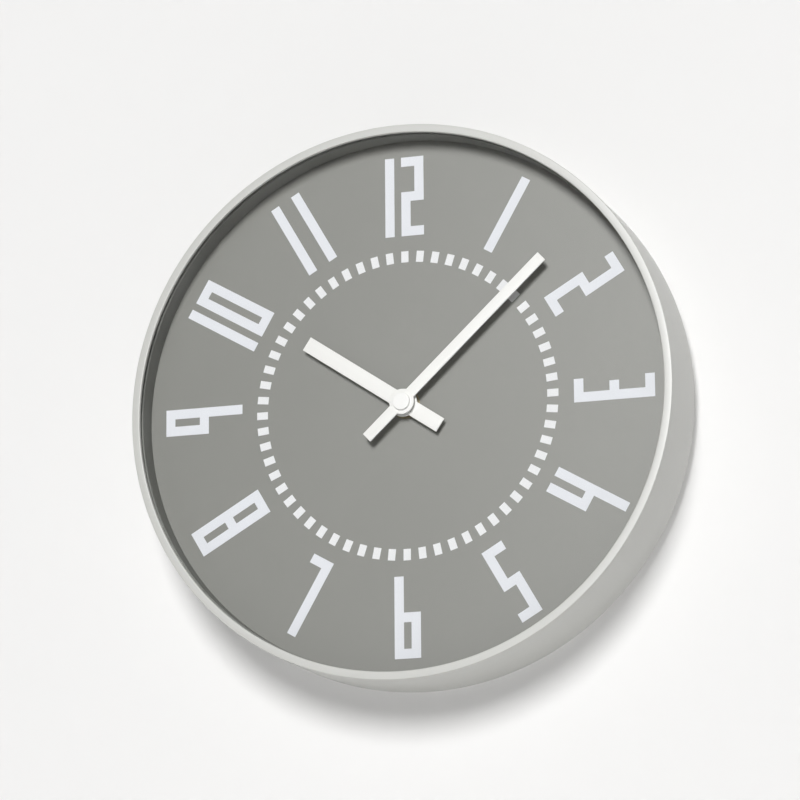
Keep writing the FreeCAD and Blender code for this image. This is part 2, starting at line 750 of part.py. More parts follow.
def make_screw(name, z, seat):
    """A flat-headed screw at a height z, with its head behind the plate that it holds."""
    head = doc.addObject("Part::Cylinder", "screw_head_" + name)
    head.setExpression("Radius", s.hanger_head_radius.text)
    head.setExpression("Height", s.hanger_head_thick.text)
    shank = doc.addObject("Part::Cylinder", "screw_shank_" + name)
    shank.setExpression("Radius", s.hanger_screw_radius.text)
    shank.setExpression("Height", (s.hanger_screw_length + s.hanger_thick).text)
    for piece, height in ((head, seat - s.hanger_head_thick), (shank, seat)):
        piece.Placement = FreeCAD.Placement(Vector(), FreeCAD.Rotation(Vector(1, 0, 0), 90))
        piece.setExpression("Placement.Base.y", (-height).text)
        piece.setExpression("Placement.Base.z", z.text)
    screw = doc.addObject("Part::Fuse", "screw_" + name)
    screw.Base = head
    screw.Tool = shank
    return screw


# What holds the movement to the dial

def make_fixings():
    """Gasket, threaded bush, washer and nut."""
    gasket = new_body("gasket")
    turned(gasket, [
        (s.bush_flange_radius + s.dial_hole_gap, move_front),
        (s.gasket_radius, move_front),
        (s.gasket_radius, dial_back),
        (s.bush_flange_radius + s.dial_hole_gap, dial_back),
    ])

    bush = new_body("center_bush")
    turned(bush, [
        (bush_bore, layer(s.move_wall)),
        (s.bush_radius, layer(s.move_wall)),
        (s.bush_radius, move_front),
        (s.bush_flange_radius, move_front),
        (s.bush_flange_radius, dial_back),
        (s.bush_radius, dial_back),
        (s.bush_radius, dial_front + s.bush_reach),
        (bush_bore, dial_front + s.bush_reach),
    ])

    washer_top = dial_front + s.washer_thick
    washer = new_body("fixing_washer")
    turned(washer, [
        (s.bush_radius, dial_front),
        (s.washer_radius, dial_front),
        (s.washer_radius, washer_top),
        (s.bush_radius, washer_top),
    ])

    nut = new_body("fixing_nut")
    corner = s.nut_flat / cosine(size(30)) / 2
    sketch = new_sketch(nut, "Hexagon", "XZ_Plane", washer_top)
    angles = [size(60 * k) for k in range(6)]
    outline(sketch, [(corner * cosine(a), corner * sine(a)) for a in angles])
    pad(nut, sketch, s.nut_thick)
    sunk(nut, lambda k: circle(k, size(0), size(0), s.bush_radius), washer_top, washer_top + s.nut_thick)


# Hands

def make_hand(label, face, width, tip, tail, hub, bore, collet, collet_length, angle):
    """A flat baton with a round hub, and a collet behind it that grips its pipe."""
    body = new_body(label)
    back = face - s.hand_thick
    raised(body, lambda k: circle(k, size(0), size(0), hub), back, face)
    raised(body, lambda k: box(k, -width / 2, width / 2, -tail, tip), back, face)
    raised(body, lambda k: circle(k, size(0), size(0), collet), back - collet_length, back)
    sunk(body, lambda k: circle(k, size(0), size(0), bore), back - collet_length, face)
    turn_piece(body, angle)


def make_cap():
    """Round boss that closes the minute tube."""
    body = new_body("minute_cap")
    top = minute_top + s.cap_height
    shoulder = s.cap_radius - s.cap_round
    turned(body, [
        (size(0), minute_top),
        (s.cap_radius, minute_top),
        (s.cap_radius, top - s.cap_round),
        (shoulder, top),
        (size(0), top),
    ], {2: (shoulder, top - s.cap_round)})


# Gear train

cannon_module = module_of(s.motion_distance, s.motion_teeth, s.cannon_teeth)
hour_module = module_of(s.motion_distance, s.hour_teeth, s.motion_leaves)
centre_module = module_of(s.third_distance, s.centre_teeth, s.third_leaves)
third_module = module_of(s.third_distance, s.third_teeth, s.seconds_leaves)
seconds_module = module_of(s.intermediate_distance, s.seconds_teeth, s.intermediate_leaves)
rotor_module = module_of(s.rotor_distance, s.intermediate_teeth, s.rotor_leaves)
setting_module = module_of(s.setting_distance, s.motion_teeth, s.setting_leaves)


def wheel(centre, teeth, module, towards, depth, thick):
    """A wheel with a tooth pointing at the centre it drives."""
    return toothed(centre, teeth.value, module, WHEEL_FORM, direction(centre, towards),
                   layer(depth + thick), layer(depth))


def pinion(centre, leaves, module, partner, partner_teeth, partner_phase, depth, thick):
    """A pinion in mesh with a wheel that lies at a known phase."""
    phase = meshed_phase(partner, partner_teeth.value, partner_phase, centre, leaves.value)
    return toothed(centre, leaves.value, module, PINION_FORM, phase,
                   layer(depth + thick + s.leaf_overlap), layer(depth - s.leaf_overlap))


def make_motion_work():
    """Minute tube with its pinion, motion wheel and hour wheel."""
    cannon_phase = direction(CENTRE, MOTION)
    motion_phase = cannon_phase + math.pi
    tube = upright(CENTRE, s.cannon_radius.value, layer(s.motion_layer + s.motion_thick), minute_top)
    leaves = pinion(CENTRE, s.cannon_teeth, cannon_module, MOTION, s.motion_teeth, motion_phase,
                    s.motion_layer, s.motion_thick)
    seat = upright(CENTRE, seat_radius.value, layer(s.centre_layer + s.wheel_thick + s.seat_rim),
                   layer(s.motion_layer + s.motion_thick + s.leaf_overlap))
    bore = upright(CENTRE, pivot_bore.value, layer(s.centre_layer + s.wheel_thick + PAST),
                   layer(s.hour_layer - PAST))
    solid_piece("cannon_pinion", tube.fuse([leaves, seat]).cut(bore))

    disc = wheel(MOTION, s.motion_teeth, cannon_module, CENTRE, s.motion_layer, s.motion_thick)
    hour_phase = direction(CENTRE, MOTION)
    small = toothed(MOTION, s.motion_leaves.value, hour_module, PINION_FORM,
                    meshed_phase(CENTRE, s.hour_teeth.value, hour_phase, MOTION, s.motion_leaves.value),
                    layer(s.motion_layer), layer(s.hour_layer - s.face_gap))
    hole = upright(MOTION, s.motion_post_radius.value + s.pivot_gap.value,
                   layer(s.motion_layer + s.motion_thick + PAST), move_front)
    solid_piece("motion_wheel", disc.fuse(small).cut(hole))

    disc = wheel(CENTRE, s.hour_teeth, hour_module, MOTION, s.hour_layer, s.motion_thick)
    pipe = upright(CENTRE, s.hour_pipe_radius.value, layer(s.hour_layer + s.motion_thick), hour_top)
    hole = upright(CENTRE, hour_bore.value, layer(s.hour_layer + s.motion_thick + PAST), hour_top + PAST)
    solid_piece("hour_wheel", disc.fuse(pipe).cut(hole))


def make_going_train():
    """Centre, third, seconds and intermediate wheels, each on its arbor."""
    disc = wheel(CENTRE, s.centre_teeth, centre_module, THIRD, s.centre_layer, s.wheel_thick)
    hole = upright(CENTRE, seat_radius.value, layer(s.centre_layer + s.wheel_thick + PAST),
                   layer(s.centre_layer - PAST))
    solid_piece("centre_wheel", disc.cut(hole))

    rear = layer(s.bridge_layer + s.lamina_thick)
    front = layer(s.move_wall + s.pivot_end)
    small = pinion(THIRD, s.third_leaves, centre_module, CENTRE, s.centre_teeth,
                   direction(CENTRE, THIRD), s.centre_layer, s.wheel_thick)
    disc = wheel(THIRD, s.third_teeth, third_module, CENTRE, s.third_layer, s.wheel_thick)
    arbor = upright(THIRD, s.arbor_radius.value, rear, front)
    solid_piece("third_wheel", disc.fuse([small, arbor]))

    small = pinion(CENTRE, s.seconds_leaves, third_module, THIRD, s.third_teeth,
                   direction(THIRD, CENTRE), s.third_layer, s.wheel_thick)
    disc = wheel(CENTRE, s.seconds_teeth, seconds_module, INTERMEDIATE, s.seconds_layer, s.wheel_thick)
    arbor = upright(CENTRE, s.arbor_radius.value, rear, layer(s.hour_layer))
    solid_piece("seconds_wheel", disc.fuse([small, arbor]))

    small = pinion(INTERMEDIATE, s.intermediate_leaves, seconds_module, CENTRE, s.seconds_teeth,
                   direction(CENTRE, INTERMEDIATE), s.seconds_layer, s.wheel_thick)
    disc = wheel(INTERMEDIATE, s.intermediate_teeth, rotor_module, ROTOR, s.intermediate_layer,
                 s.wheel_thick)
    arbor = upright(INTERMEDIATE, s.arbor_radius.value, rear, front)
    solid_piece("intermediate_wheel", disc.fuse([small, arbor]))

    small = pinion(ROTOR, s.rotor_leaves, rotor_module, INTERMEDIATE, s.intermediate_teeth,
                   direction(INTERMEDIATE, ROTOR), s.intermediate_layer, s.wheel_thick)
    arbor = upright(ROTOR, s.arbor_radius.value, rear, front)
    solid_piece("rotor_pinion", small.fuse(arbor))
    magnet = new_body("rotor_magnet")
    low, high = layer(s.magnet_layer + s.magnet_thick), layer(s.magnet_layer)
    raised(magnet, lambda k: circle(k, ROTOR[0], ROTOR[1], s.magnet_radius), low, high)
    sunk(magnet, lambda k: circle(k, ROTOR[0], ROTOR[1], s.arbor_radius), low, high)


def make_setting():
    """Setting arbor in mesh with the motion wheel, and its knob behind the cover."""
    small = pinion(SETTING, s.setting_leaves, setting_module, MOTION, s.motion_teeth,
                   direction(MOTION, CENTRE), s.motion_layer, s.motion_thick)
    shaft = upright(SETTING, s.setting_shaft_radius.value, move_back - s.knob_gap - s.knob_thick,
                    layer(s.motion_layer))
    pivot = upright(SETTING, s.arbor_radius.value, layer(s.motion_layer), layer(s.move_wall + s.pivot_end))
    solid_piece("setting_arbor", small.fuse([shaft, pivot]))

    knob = new_body("setting_knob")
    high = move_back - s.knob_gap
    low = high - s.knob_thick
    sketch = new_sketch(knob, "Rim", "XZ_Plane", low)
    circle(sketch, size(0), size(0), s.knob_radius)
    pad(knob, sketch, s.knob_thick)
    groove = sunk(knob, lambda k: circle(k, s.knob_radius, size(0), s.knob_groove_radius), low, high)
    spread(knob, groove, s.knob_grooves)
    sunk(knob, lambda k: circle(k, size(0), size(0), s.setting_shaft_radius), low, high)
    knob.setExpression("Placement.Base.x", SETTING[0].text)
    knob.setExpression("Placement.Base.z", SETTING[1].text)


# Movement housing and electrics

def post(body, place_at, radius, depth):
    """A round post from the movement's front wall back to a depth."""
    raised(body, lambda k: circle(k, place_at[0], place_at[1], radius), layer(depth),
           layer(s.move_wall / 2))


def blind_hole(body, place_at, depth):
    """The blind hole of a front pivot, open at a depth behind the front."""
    sunk(body, lambda k: circle(k, place_at[0], place_at[1], pivot_bore), layer(depth + PAST),
         layer(s.move_wall))


def make_base():
    """Front housing: tray for train and cell, posts and front pivots."""
    body = new_body("movement_base")
    raised(body, lambda k: rounded_box(k, -half_move, half_move, move_low, s.move_above, s.move_corner),
           cover_front, move_front)
    inside = layer(s.move_wall)
    sunk(body, lambda k: box(k, -inner_side, inner_side, divider_high, inner_top), cover_front - PAST,
         inside)
    sunk(body, lambda k: box(k, -inner_side, inner_side, inner_low, divider_low), cover_front - PAST,
         inside)
    short = s.leaf_overlap + s.post_gap
    post(body, MOTION, s.motion_post_radius, s.motion_layer + s.motion_thick + s.post_gap)
    post(body, THIRD, s.train_post_radius, s.centre_layer - short)
    post(body, INTERMEDIATE, s.train_post_radius, s.centre_layer - short)
    post(body, ROTOR, s.train_post_radius, s.intermediate_layer - short)
    post(body, SETTING, s.setting_post_radius, s.motion_layer - short)
    for x in (s.coil_left, s.coil_right):
        post(body, (x, coil_z), s.core_post_radius, s.stator_layer - s.lamina_thick)
    for spot in bridge_posts():
        post(body, spot, s.bridge_post_radius, s.bridge_layer)
    for spot in board_posts():
        post(body, spot, s.board_post_radius, s.board_layer)
    blind_hole(body, THIRD, s.centre_layer)
    blind_hole(body, INTERMEDIATE, s.centre_layer)
    blind_hole(body, ROTOR, s.intermediate_layer)
    blind_hole(body, SETTING, s.motion_layer)
    sunk(body, lambda k: circle(k, size(0), size(0), s.bush_radius), inside - PAST, move_front + PAST)
    for edges in tabs(size(0)):
        raised(body, lambda k, e=edges: box(k, *e), move_back, cover_front + s.move_wall)
    for middle in (-s.cradle_reach, s.cradle_reach):
        across(body, cradle, middle - s.cradle_thick / 2, middle + s.cradle_thick / 2)


def cradle(sketch):
    """A rib of the cell's tray, hollowed to the cell's round; the sketch's own axes are Y and Z."""
    radius = s.cell_radius + s.cradle_gap
    root_in = s.move_wall / 2
    middle, front = -layer(cell_layer), -layer(root_in)
    low, high = inner_low - root_in, divider_low + s.divider_thick / 2
    outline(sketch, [
        (front, high), (middle, high), (middle, s.cell_z + radius), (middle, s.cell_z - radius),
        (middle, low), (front, low),
    ], {2: (middle, s.cell_z)})


def tabs(gap):
    """Left, right, lower and upper edges of the housing's three tabs, widened by a gap."""
    half = s.tab_width / 2 + gap
    side, top = half_move - s.move_wall - gap, s.move_above - s.move_wall - gap
    low, high = s.tab_z - half, s.tab_z + half
    return ((-half_move, -side, low, high), (side, half_move, low, high), (-half, half, top, s.move_above))


def bridge_posts():
    """Where the train bridge stands."""
    left, right = s.bridge_left + s.post_inset, inner_side - s.post_inset
    low, high = divider_high + s.edge_gap + s.post_inset, s.bridge_top - s.post_inset
    return ((left, low), (right, low), (left, high))


def board_posts():
    """Where the circuit board stands."""
    high = board_high - s.post_inset
    return ((s.board_left + s.post_inset, high), (s.board_right - s.post_inset, high))


def make_bridge():
    """Plate that carries the rear pivots."""
    body = new_body("train_bridge")
    low, high = layer(s.bridge_layer + s.lamina_thick), layer(s.bridge_layer)
    right, bottom = inner_side - s.edge_gap, divider_high + s.edge_gap
    raised(body, lambda k: rounded_box(k, s.bridge_left, right, bottom, s.bridge_top, s.bridge_corner),
           low, high)
    for spot in (CENTRE, THIRD, INTERMEDIATE, ROTOR):
        sunk(body, lambda k, p=spot: circle(k, p[0], p[1], pivot_bore), low, high)


def make_cover():
    """Rear plate of the movement, open over the cell and notched for the tabs."""
    body = new_body("movement_cover")
    raised(body, lambda k: rounded_box(k, -half_move, half_move, move_low, s.move_above, s.move_corner),
           move_back, cover_front)
    side = s.cell_length / 2 + s.button_height
    low = s.cell_z - s.cell_radius - s.edge_gap
    high = s.cell_z + s.cell_radius + s.edge_gap
    sunk(body, lambda k: box(k, -side, side, low, high), move_back - PAST, cover_front + PAST)
    hole = s.setting_shaft_radius + s.pivot_gap
    sunk(body, lambda k: circle(k, SETTING[0], SETTING[1], hole), move_back - PAST, cover_front + PAST)
    for edges in tabs(s.tab_gap):
        sunk(body, lambda k, e=edges: box(k, *e), move_back - PAST, cover_front + PAST)


def make_motor():
    """Stator, coil core, bobbin and winding."""
    stator = new_body("stator")
    low, high = layer(s.stator_layer + s.lamina_thick), layer(s.stator_layer)
    half_leg = s.stator_leg / 2
    left, right = s.coil_left - half_leg, s.coil_right + half_leg
    bar_low, bar_high = ROTOR[1] - s.stator_bar, ROTOR[1] + s.stator_bar
    top = coil_z + half_leg
    raised(stator, lambda k: outline(k, [
        (left, bar_low), (right, bar_low), (right, top), (right - s.stator_leg, top),
        (right - s.stator_leg, bar_high), (left + s.stator_leg, bar_high),
        (left + s.stator_leg, top), (left, top),
    ]), low, high)
    sunk(stator, lambda k: circle(k, ROTOR[0], ROTOR[1], s.stator_hole_radius), low, high)

    core = new_body("coil_core")
    half = s.core_half_width
    core_low, core_high = layer(s.stator_layer), layer(s.stator_layer - s.lamina_thick)
    raised(core, lambda k: box(k, left, right, coil_z - half, coil_z + half), core_low, core_high)

    middle = (core_low + core_high) / 2
    start, end = s.coil_left + s.bobbin_inset, s.coil_right - s.bobbin_inset
    bobbin = new_body("coil_bobbin")
    across(bobbin, lambda k: circle(k, -middle, coil_z, s.bobbin_tube_radius), start, end)
    across(bobbin, lambda k: circle(k, -middle, coil_z, s.bobbin_radius), start,
           start + s.bobbin_flange)
    across(bobbin, lambda k: circle(k, -middle, coil_z, s.bobbin_radius), end - s.bobbin_flange, end)
    sketch = new_sketch(bobbin, "Slot", "YZ_Plane", end)
    box(sketch, -core_high, -core_low, coil_z - half, coil_z + half)
    pocket(bobbin, sketch, end - start)

    winding = new_body("coil_winding")
    begin, finish = start + s.bobbin_flange, end - s.bobbin_flange
    across(winding, lambda k: circle(k, -middle, coil_z, s.coil_radius), begin, finish)
    sketch = new_sketch(winding, "Bore", "YZ_Plane", finish)
    circle(sketch, -middle, coil_z, s.bobbin_tube_radius)
    pocket(winding, sketch, finish - begin)


def make_electrics():
    """Circuit board with its crystal and chip, and the two battery contacts."""
    board = new_body("circuit_board")
    rear = layer(s.board_layer + s.board_thick)
    raised(board, lambda k: box(k, s.board_left, s.board_right, board_low, board_high), rear,
           layer(s.board_layer))

    crystal = new_body("crystal")
    can = s.crystal_radius
    start = s.board_left + s.crystal_left
    across(crystal, lambda k: circle(k, -(rear - can), board_high - s.crystal_drop, can), start,
           start + s.crystal_length)

    chip = new_body("chip")
    right, low = s.board_right - s.chip_right, board_low + s.chip_low
    raised(chip, lambda k: box(k, right - s.chip_side, right, low, low + s.chip_side),
           rear - s.chip_thick, rear)

    plus = new_body("contact_plus")
    outer = inner_side - s.contact_thick
    reach = s.cell_length / 2 + s.button_height / 2 + s.contact_gap
    low, high = inner_low + s.contact_low, s.cell_z + s.contact_high
    strip_low, strip_high = layer(s.board_layer), layer(s.move_wall + s.contact_front)
    middle = -layer(cell_layer)
    raised(plus, lambda k: box(k, -inner_side, -outer, low, high), strip_low, strip_high)
    across(plus, lambda k: circle(k, middle, s.cell_z, s.plus_radius), -outer, -reach)

    minus = new_body("contact_minus")
    raised(minus, lambda k: box(k, outer, inner_side, low, high), strip_low, strip_high)
    across(minus, lambda k: circle(k, middle, s.cell_z, s.minus_radius), reach, outer)


def make_cell():
    """One round cell with its button to the left."""
    body = new_body("battery_cell")
    middle = layer(cell_layer)
    half = s.cell_length / 2
    shift = s.button_height / 2
    across(body, lambda k: circle(k, -middle, s.cell_z, s.cell_radius), shift - half, shift + half)
    across(body, lambda k: circle(k, -middle, s.cell_z, s.button_radius), -shift - half, shift - half)


def build():
    """Make every sub-part."""
    make_case()
    make_lens()
    make_spacer()
    make_dial()
    make_back_cover()
    make_hanger()
    make_fixings()
    make_hand("hour_hand", hour_top, s.hour_width, s.hour_tip, s.hour_tail, s.hour_hub,
              s.hour_pipe_radius, s.hour_collet, s.hour_collet_length, s.hour_angle)
    make_hand("minute_hand", minute_top, s.minute_width, s.minute_tip, s.minute_tail, s.minute_hub,
              s.cannon_radius, s.minute_collet, s.minute_collet_length, s.minute_angle)
    make_cap()
    make_motion_work()
    make_going_train()
    make_setting()
    make_base()
    make_bridge()
    make_cover()
    make_motor()
    make_electrics()
    make_cell()


NODES = (
    "case", "lens", "spacer_ring", "dial_plate", "back_cover", "hanger_plate", "hanger_screws",
    "gasket", "center_bush", "fixing_washer", "fixing_nut", "hour_hand", "minute_hand", "minute_cap",
    "cannon_pinion", "motion_wheel", "hour_wheel", "centre_wheel", "third_wheel", "seconds_wheel",
    "intermediate_wheel", "rotor_pinion", "rotor_magnet", "setting_arbor", "setting_knob",
    "movement_base", "train_bridge", "movement_cover", "stator", "coil_core", "coil_bobbin",
    "coil_winding", "circuit_board", "crystal", "chip", "contact_plus", "contact_minus",
    "battery_cell",
)


def check_and_write():
    """Refuse a failed object or a bad shape, then write one file per sub-part."""
    doc.recompute()
    for piece in doc.Objects:
        if "Invalid" in piece.State or "Error" in piece.State:
            raise RuntimeError("%s failed: %s" % (piece.Label, piece.State))
    os.makedirs("parts", exist_ok=True)
    shapes = {}
    for name in NODES:
        shape = doc.getObjectsByLabel(name)[0].Shape
        if shape.isNull() or not shape.isValid() or shape.Volume <= 0:
            raise RuntimeError("%s has no valid shape" % name)
        shapes[name] = shape
    for name, shape in shapes.items():
        shape.exportStep(os.path.join("parts", name + ".step"))
        print("%-20s %2d solid  %9.1f mm3" % (name, len(shape.Solids), shape.Volume))


build()
check_and_write()
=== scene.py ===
"""Looks of a round wall clock: case, glass, printed dial, hands and the quartz movement behind.

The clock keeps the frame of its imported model, in metres: the hands turn about the Y axis, the
front faces -Y, +Z points to twelve and the wall is the plane y = 0. Heights are counted from the
wall towards the front, so a height h lies at y = -h.
"""
from __future__ import annotations

import functools
import logging
import math
from dataclasses import dataclass
from enum import Enum
from typing import Any, Iterable, Mapping, Sequence, Union

import bmesh
import bpy
from mathutils import Matrix, Quaternion, Vector

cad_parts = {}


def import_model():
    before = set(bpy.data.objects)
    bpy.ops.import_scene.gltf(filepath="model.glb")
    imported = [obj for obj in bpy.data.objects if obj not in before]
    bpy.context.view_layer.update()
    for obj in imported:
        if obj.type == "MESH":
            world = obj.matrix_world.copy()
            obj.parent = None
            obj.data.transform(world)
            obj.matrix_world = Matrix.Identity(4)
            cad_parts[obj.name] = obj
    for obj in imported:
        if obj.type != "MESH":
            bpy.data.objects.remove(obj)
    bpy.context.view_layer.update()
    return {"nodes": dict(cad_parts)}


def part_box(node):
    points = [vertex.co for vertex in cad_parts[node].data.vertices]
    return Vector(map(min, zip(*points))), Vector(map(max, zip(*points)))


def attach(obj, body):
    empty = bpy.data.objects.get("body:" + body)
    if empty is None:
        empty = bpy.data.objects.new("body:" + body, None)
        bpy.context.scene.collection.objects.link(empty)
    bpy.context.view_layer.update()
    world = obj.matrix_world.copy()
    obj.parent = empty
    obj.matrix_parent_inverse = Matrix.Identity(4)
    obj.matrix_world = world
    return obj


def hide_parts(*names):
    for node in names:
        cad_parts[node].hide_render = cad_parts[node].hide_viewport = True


LOG = logging.getLogger("station_clock")
MM = 0.001
WAVE_PITCH = 0.314  # Scale times spacing of a wave texture's bands

Colour = tuple[float, float, float]
Point = tuple[float, float]
Spot = tuple[float, float, float]
Input = Union["Signal", float, Sequence[float]]


# Shader graphs


class Signal:
    """One output of a shader graph, with arithmetic that adds Math nodes."""

    def __init__(self, graph: "Graph", socket: bpy.types.NodeSocket) -> None:
        """Wraps a socket.

        Args:
            graph: The graph that the socket belongs to.
            socket: The output socket.
        """
        self.graph = graph
        self.socket = socket

    def _math(self, operation: str, first: Input, second: Input) -> "Signal":
        """Adds a Math node.

        Args:
            operation: The node's operation.
            first: Its first value.
            second: Its second value.

        Returns:
            The node's result.
        """
        return self.graph.add("ShaderNodeMath", {"operation": operation}, {0: first, 1: second})

    def __add__(self, other: Input) -> "Signal":
        """This plus another."""
        return self._math("ADD", self, other)

    __radd__ = __add__

    def __sub__(self, other: Input) -> "Signal":
        """This minus another."""
        return self._math("SUBTRACT", self, other)

    def __rsub__(self, other: Input) -> "Signal":
        """Another minus this."""
        return self._math("SUBTRACT", other, self)

    def __mul__(self, other: Input) -> "Signal":
        """This times another."""
        return self._math("MULTIPLY", self, other)

    __rmul__ = __mul__

    def __truediv__(self, other: Input) -> "Signal":
        """This over another."""
        return self._math("DIVIDE", self, other)

    def __pow__(self, other: Input) -> "Signal":
        """This to a power."""
        return self._math("POWER", self, other)

    def above(self, limit: Input) -> "Signal":
        """One where this is above a limit, else zero."""
        return self._math("GREATER_THAN", self, limit)

    def larger(self, other: Input) -> "Signal":
        """The larger of this and another."""
        return self._math("MAXIMUM", self, other)


class Graph:
    """The node graph of one material or world."""

    def __init__(self, owner: Union[bpy.types.Material, bpy.types.World]) -> None:
        """Empties the owner's graph.

        Args:
            owner: The material or world.
        """
        self.owner = owner
        owner.use_nodes = True
        self.tree = owner.node_tree
        self.tree.nodes.clear()

    @classmethod
    def material(cls, name: str) -> "Graph":
        """The graph of a new material."""
        return cls(bpy.data.materials.new(name))

    def node(self, kind: str, settings: Mapping[str, Any], values: Mapping[Any, Input]) -> bpy.types.Node:
        """Adds a node, its settings first and its socket values after.

        Args:
            kind: The node's type.
            settings: Properties of the node.
            values: Numbers, colours or signals by socket name or number.

        Returns:
            The new node.
        """
        node = self.tree.nodes.new(kind)
        for key, setting in settings.items():
            setattr(node, key, setting)
        for key, value in values.items():
            socket = node.inputs[key]
            if isinstance(value, Signal):
                self.tree.links.new(value.socket, socket)
            elif socket.type == "RGBA":
                socket.default_value = (*value[:3], 1.0)
            else:
                socket.default_value = value
        return node

    def add(self, kind: str, settings: Mapping[str, Any], values: Mapping[Any, Input],
            result: Union[int, str] = 0) -> Signal:
        """Adds a node and gives one of its outputs.

        Args:
            kind: The node's type.
            settings: Properties of the node.
            values: Socket values.
            result: Name or number of the output.

        Returns:
            The output as a signal.
        """
        return Signal(self, self.node(kind, settings, values).outputs[result])

    def place(self, stretch: Sequence[float] = (1.0, 1.0, 1.0)) -> Signal:
        """Object coordinates, stretched about the origin.

        Args:
            stretch: Factor along each axis.

        Returns:
            The coordinates.
        """
        spot = self.add("ShaderNodeTexCoord", {}, {}, "Object")
        return self.add("ShaderNodeMapping", {}, {"Vector": spot, "Scale": stretch})

    def noise(self, scale: float, detail: float = 2.0, stretch: Sequence[float] = (1.0, 1.0, 1.0)) -> Signal:
        """Cloudy noise between zero and one.

        Args:
            scale: Clouds per metre.
            detail: Finer octaves.
            stretch: Stretch of the coordinates.

        Returns:
            The noise.
        """
        values = {"Vector": self.place(stretch), "Scale": scale, "Detail": detail}
        return self.add("ShaderNodeTexNoise", {}, values, "Fac")

    def blend(self, share: Input, first: Input, second: Input) -> Signal:
        """Mixes two colours.

        Args:
            share: Share of the second colour.
            first: First colour.
            second: Second colour.

        Returns:
            The mixed colour.
        """
        return self.add("ShaderNodeMix", {"data_type": "RGBA"}, {0: share, 6: first, 7: second}, 2)

    def bump(self, height: Signal, depth: float) -> Signal:
        """A bumped normal.

        Args:
            height: Relief between zero and one.
            depth: Depth of the relief in metres.

        Returns:
            The normal.
        """
        return self.add("ShaderNodeBump", {}, {"Height": height, "Distance": depth})

    def finish(self, shader: Signal) -> bpy.types.Material:
        """Connects the surface shader.

        Args:
            shader: The shader's output.

        Returns:
            The finished material or world.
        """
        kind = "World" if isinstance(self.owner, bpy.types.World) else "Material"
        self.node(f"ShaderNodeOutput{kind}", {}, {"Surface": shader})
        return self.owner

    def principled(self, values: Mapping[str, Input]) -> bpy.types.Material:
        """Finishes the material with one Principled shader.

        Args:
            values: Socket values by name.

        Returns:
            The finished material.
        """
        return self.finish(self.add("ShaderNodeBsdfPrincipled", {}, values))


# Finishes


def shade(colour: Colour, factor: float) -> Colour:
    """A lighter or darker copy of a colour."""
    return tuple(min(1.0, c * factor) for c in colour)


@dataclass(frozen=True)
class MouldedPlastic:
    """Injection-moulded plastic with a fine spark-eroded grain."""

    name: str
    colour: Colour
    roughness: float = 0.5
    grain: float = 1500.0
    grain_depth: float = 0.00001
    mottle: float = 0.03
    gloss: float = 0.5
    clouds: float = 14.0
    cloud_sheen: float = 0.05
    grain_sheen: float = 0.03

    def material(self) -> bpy.types.Material:
        """Builds the finish.

        Returns:
            The material.
        """
        graph = Graph.material(self.name)
        cloud = graph.noise(self.clouds, 3.0)
        grain = graph.noise(self.grain, 2.0)
        sheen = cloud * self.cloud_sheen + grain * self.grain_sheen
        smoothest = self.roughness - (self.cloud_sheen + self.grain_sheen) / 2
        return graph.principled({
            "Base Color": graph.blend(cloud, shade(self.colour, 1 - self.mottle),
                                      shade(self.colour, 1 + self.mottle)),
            "Roughness": smoothest + sheen,
            "Specular IOR Level": self.gloss,
            "Normal": graph.bump(grain, self.grain_depth),
        })


@dataclass(frozen=True)
class Paint:
    """Sprayed paint with a faint orange peel."""

    name: str
    colour: Colour
    roughness: float = 0.6
    peel: float = 700.0
    peel_depth: float = 0.000006
    clouds: float = 30.0
    thin: float = 0.985
    thick: float = 1.01
    sheen: float = 0.06

    def material(self) -> bpy.types.Material:
        """Builds the finish.

        Returns:
            The material.
        """
        graph = Graph.material(self.name)
        peel = graph.noise(self.peel, 1.0)
        film = graph.noise(self.clouds)
        return graph.principled({
            "Base Color": graph.blend(film, shade(self.colour, self.thin), shade(self.colour, self.thick)),
            "Roughness": self.roughness - self.sheen / 2 + film * self.sheen,
            "Normal": graph.bump(peel, self.peel_depth),
        })


@dataclass(frozen=True)
class Ink:
    """Screen-printed ink that lets a trace of the ground through."""

    name: str
    colour: Colour
    ground: Colour
    roughness: float = 0.55
    threads: float = 2600.0
    thread_gap: float = 0.05
    clouds: float = 60.0
    cloud_gap: float = 0.02
    sheen: float = 0.05
    depth: float = 0.000004

    def material(self) -> bpy.types.Material:
        """Builds the finish.

        Returns:
            The material.
        """
        graph = Graph.material(self.name)
        screen = graph.noise(self.threads, 1.0)
        film = graph.noise(self.clouds)
        thin = (screen ** 3.0) * self.thread_gap + film * self.cloud_gap
        return graph.principled({
            "Base Color": graph.blend(thin, self.colour, self.ground),
            "Roughness": self.roughness + screen * self.sheen,
            "Normal": graph.bump(screen, self.depth),
        })


class Lay(Enum):
    """Direction in which a metal was worked."""

    TURNED = "turned"
    ROLLED = "rolled"
    TUMBLED = "tumbled"


# Marks per metre, their finer octaves and the stretch that draws them out along the work.
LAYS: Mapping[Lay, tuple[float, float, Spot]] = {
    Lay.TURNED: (9000.0, 1.0, (0.02, 1.0, 0.02)),
    Lay.ROLLED: (5000.0, 2.0, (1.0, 0.2, 0.015)),
    Lay.TUMBLED: (1800.0, 3.0, (1.0, 1.0, 1.0)),
}


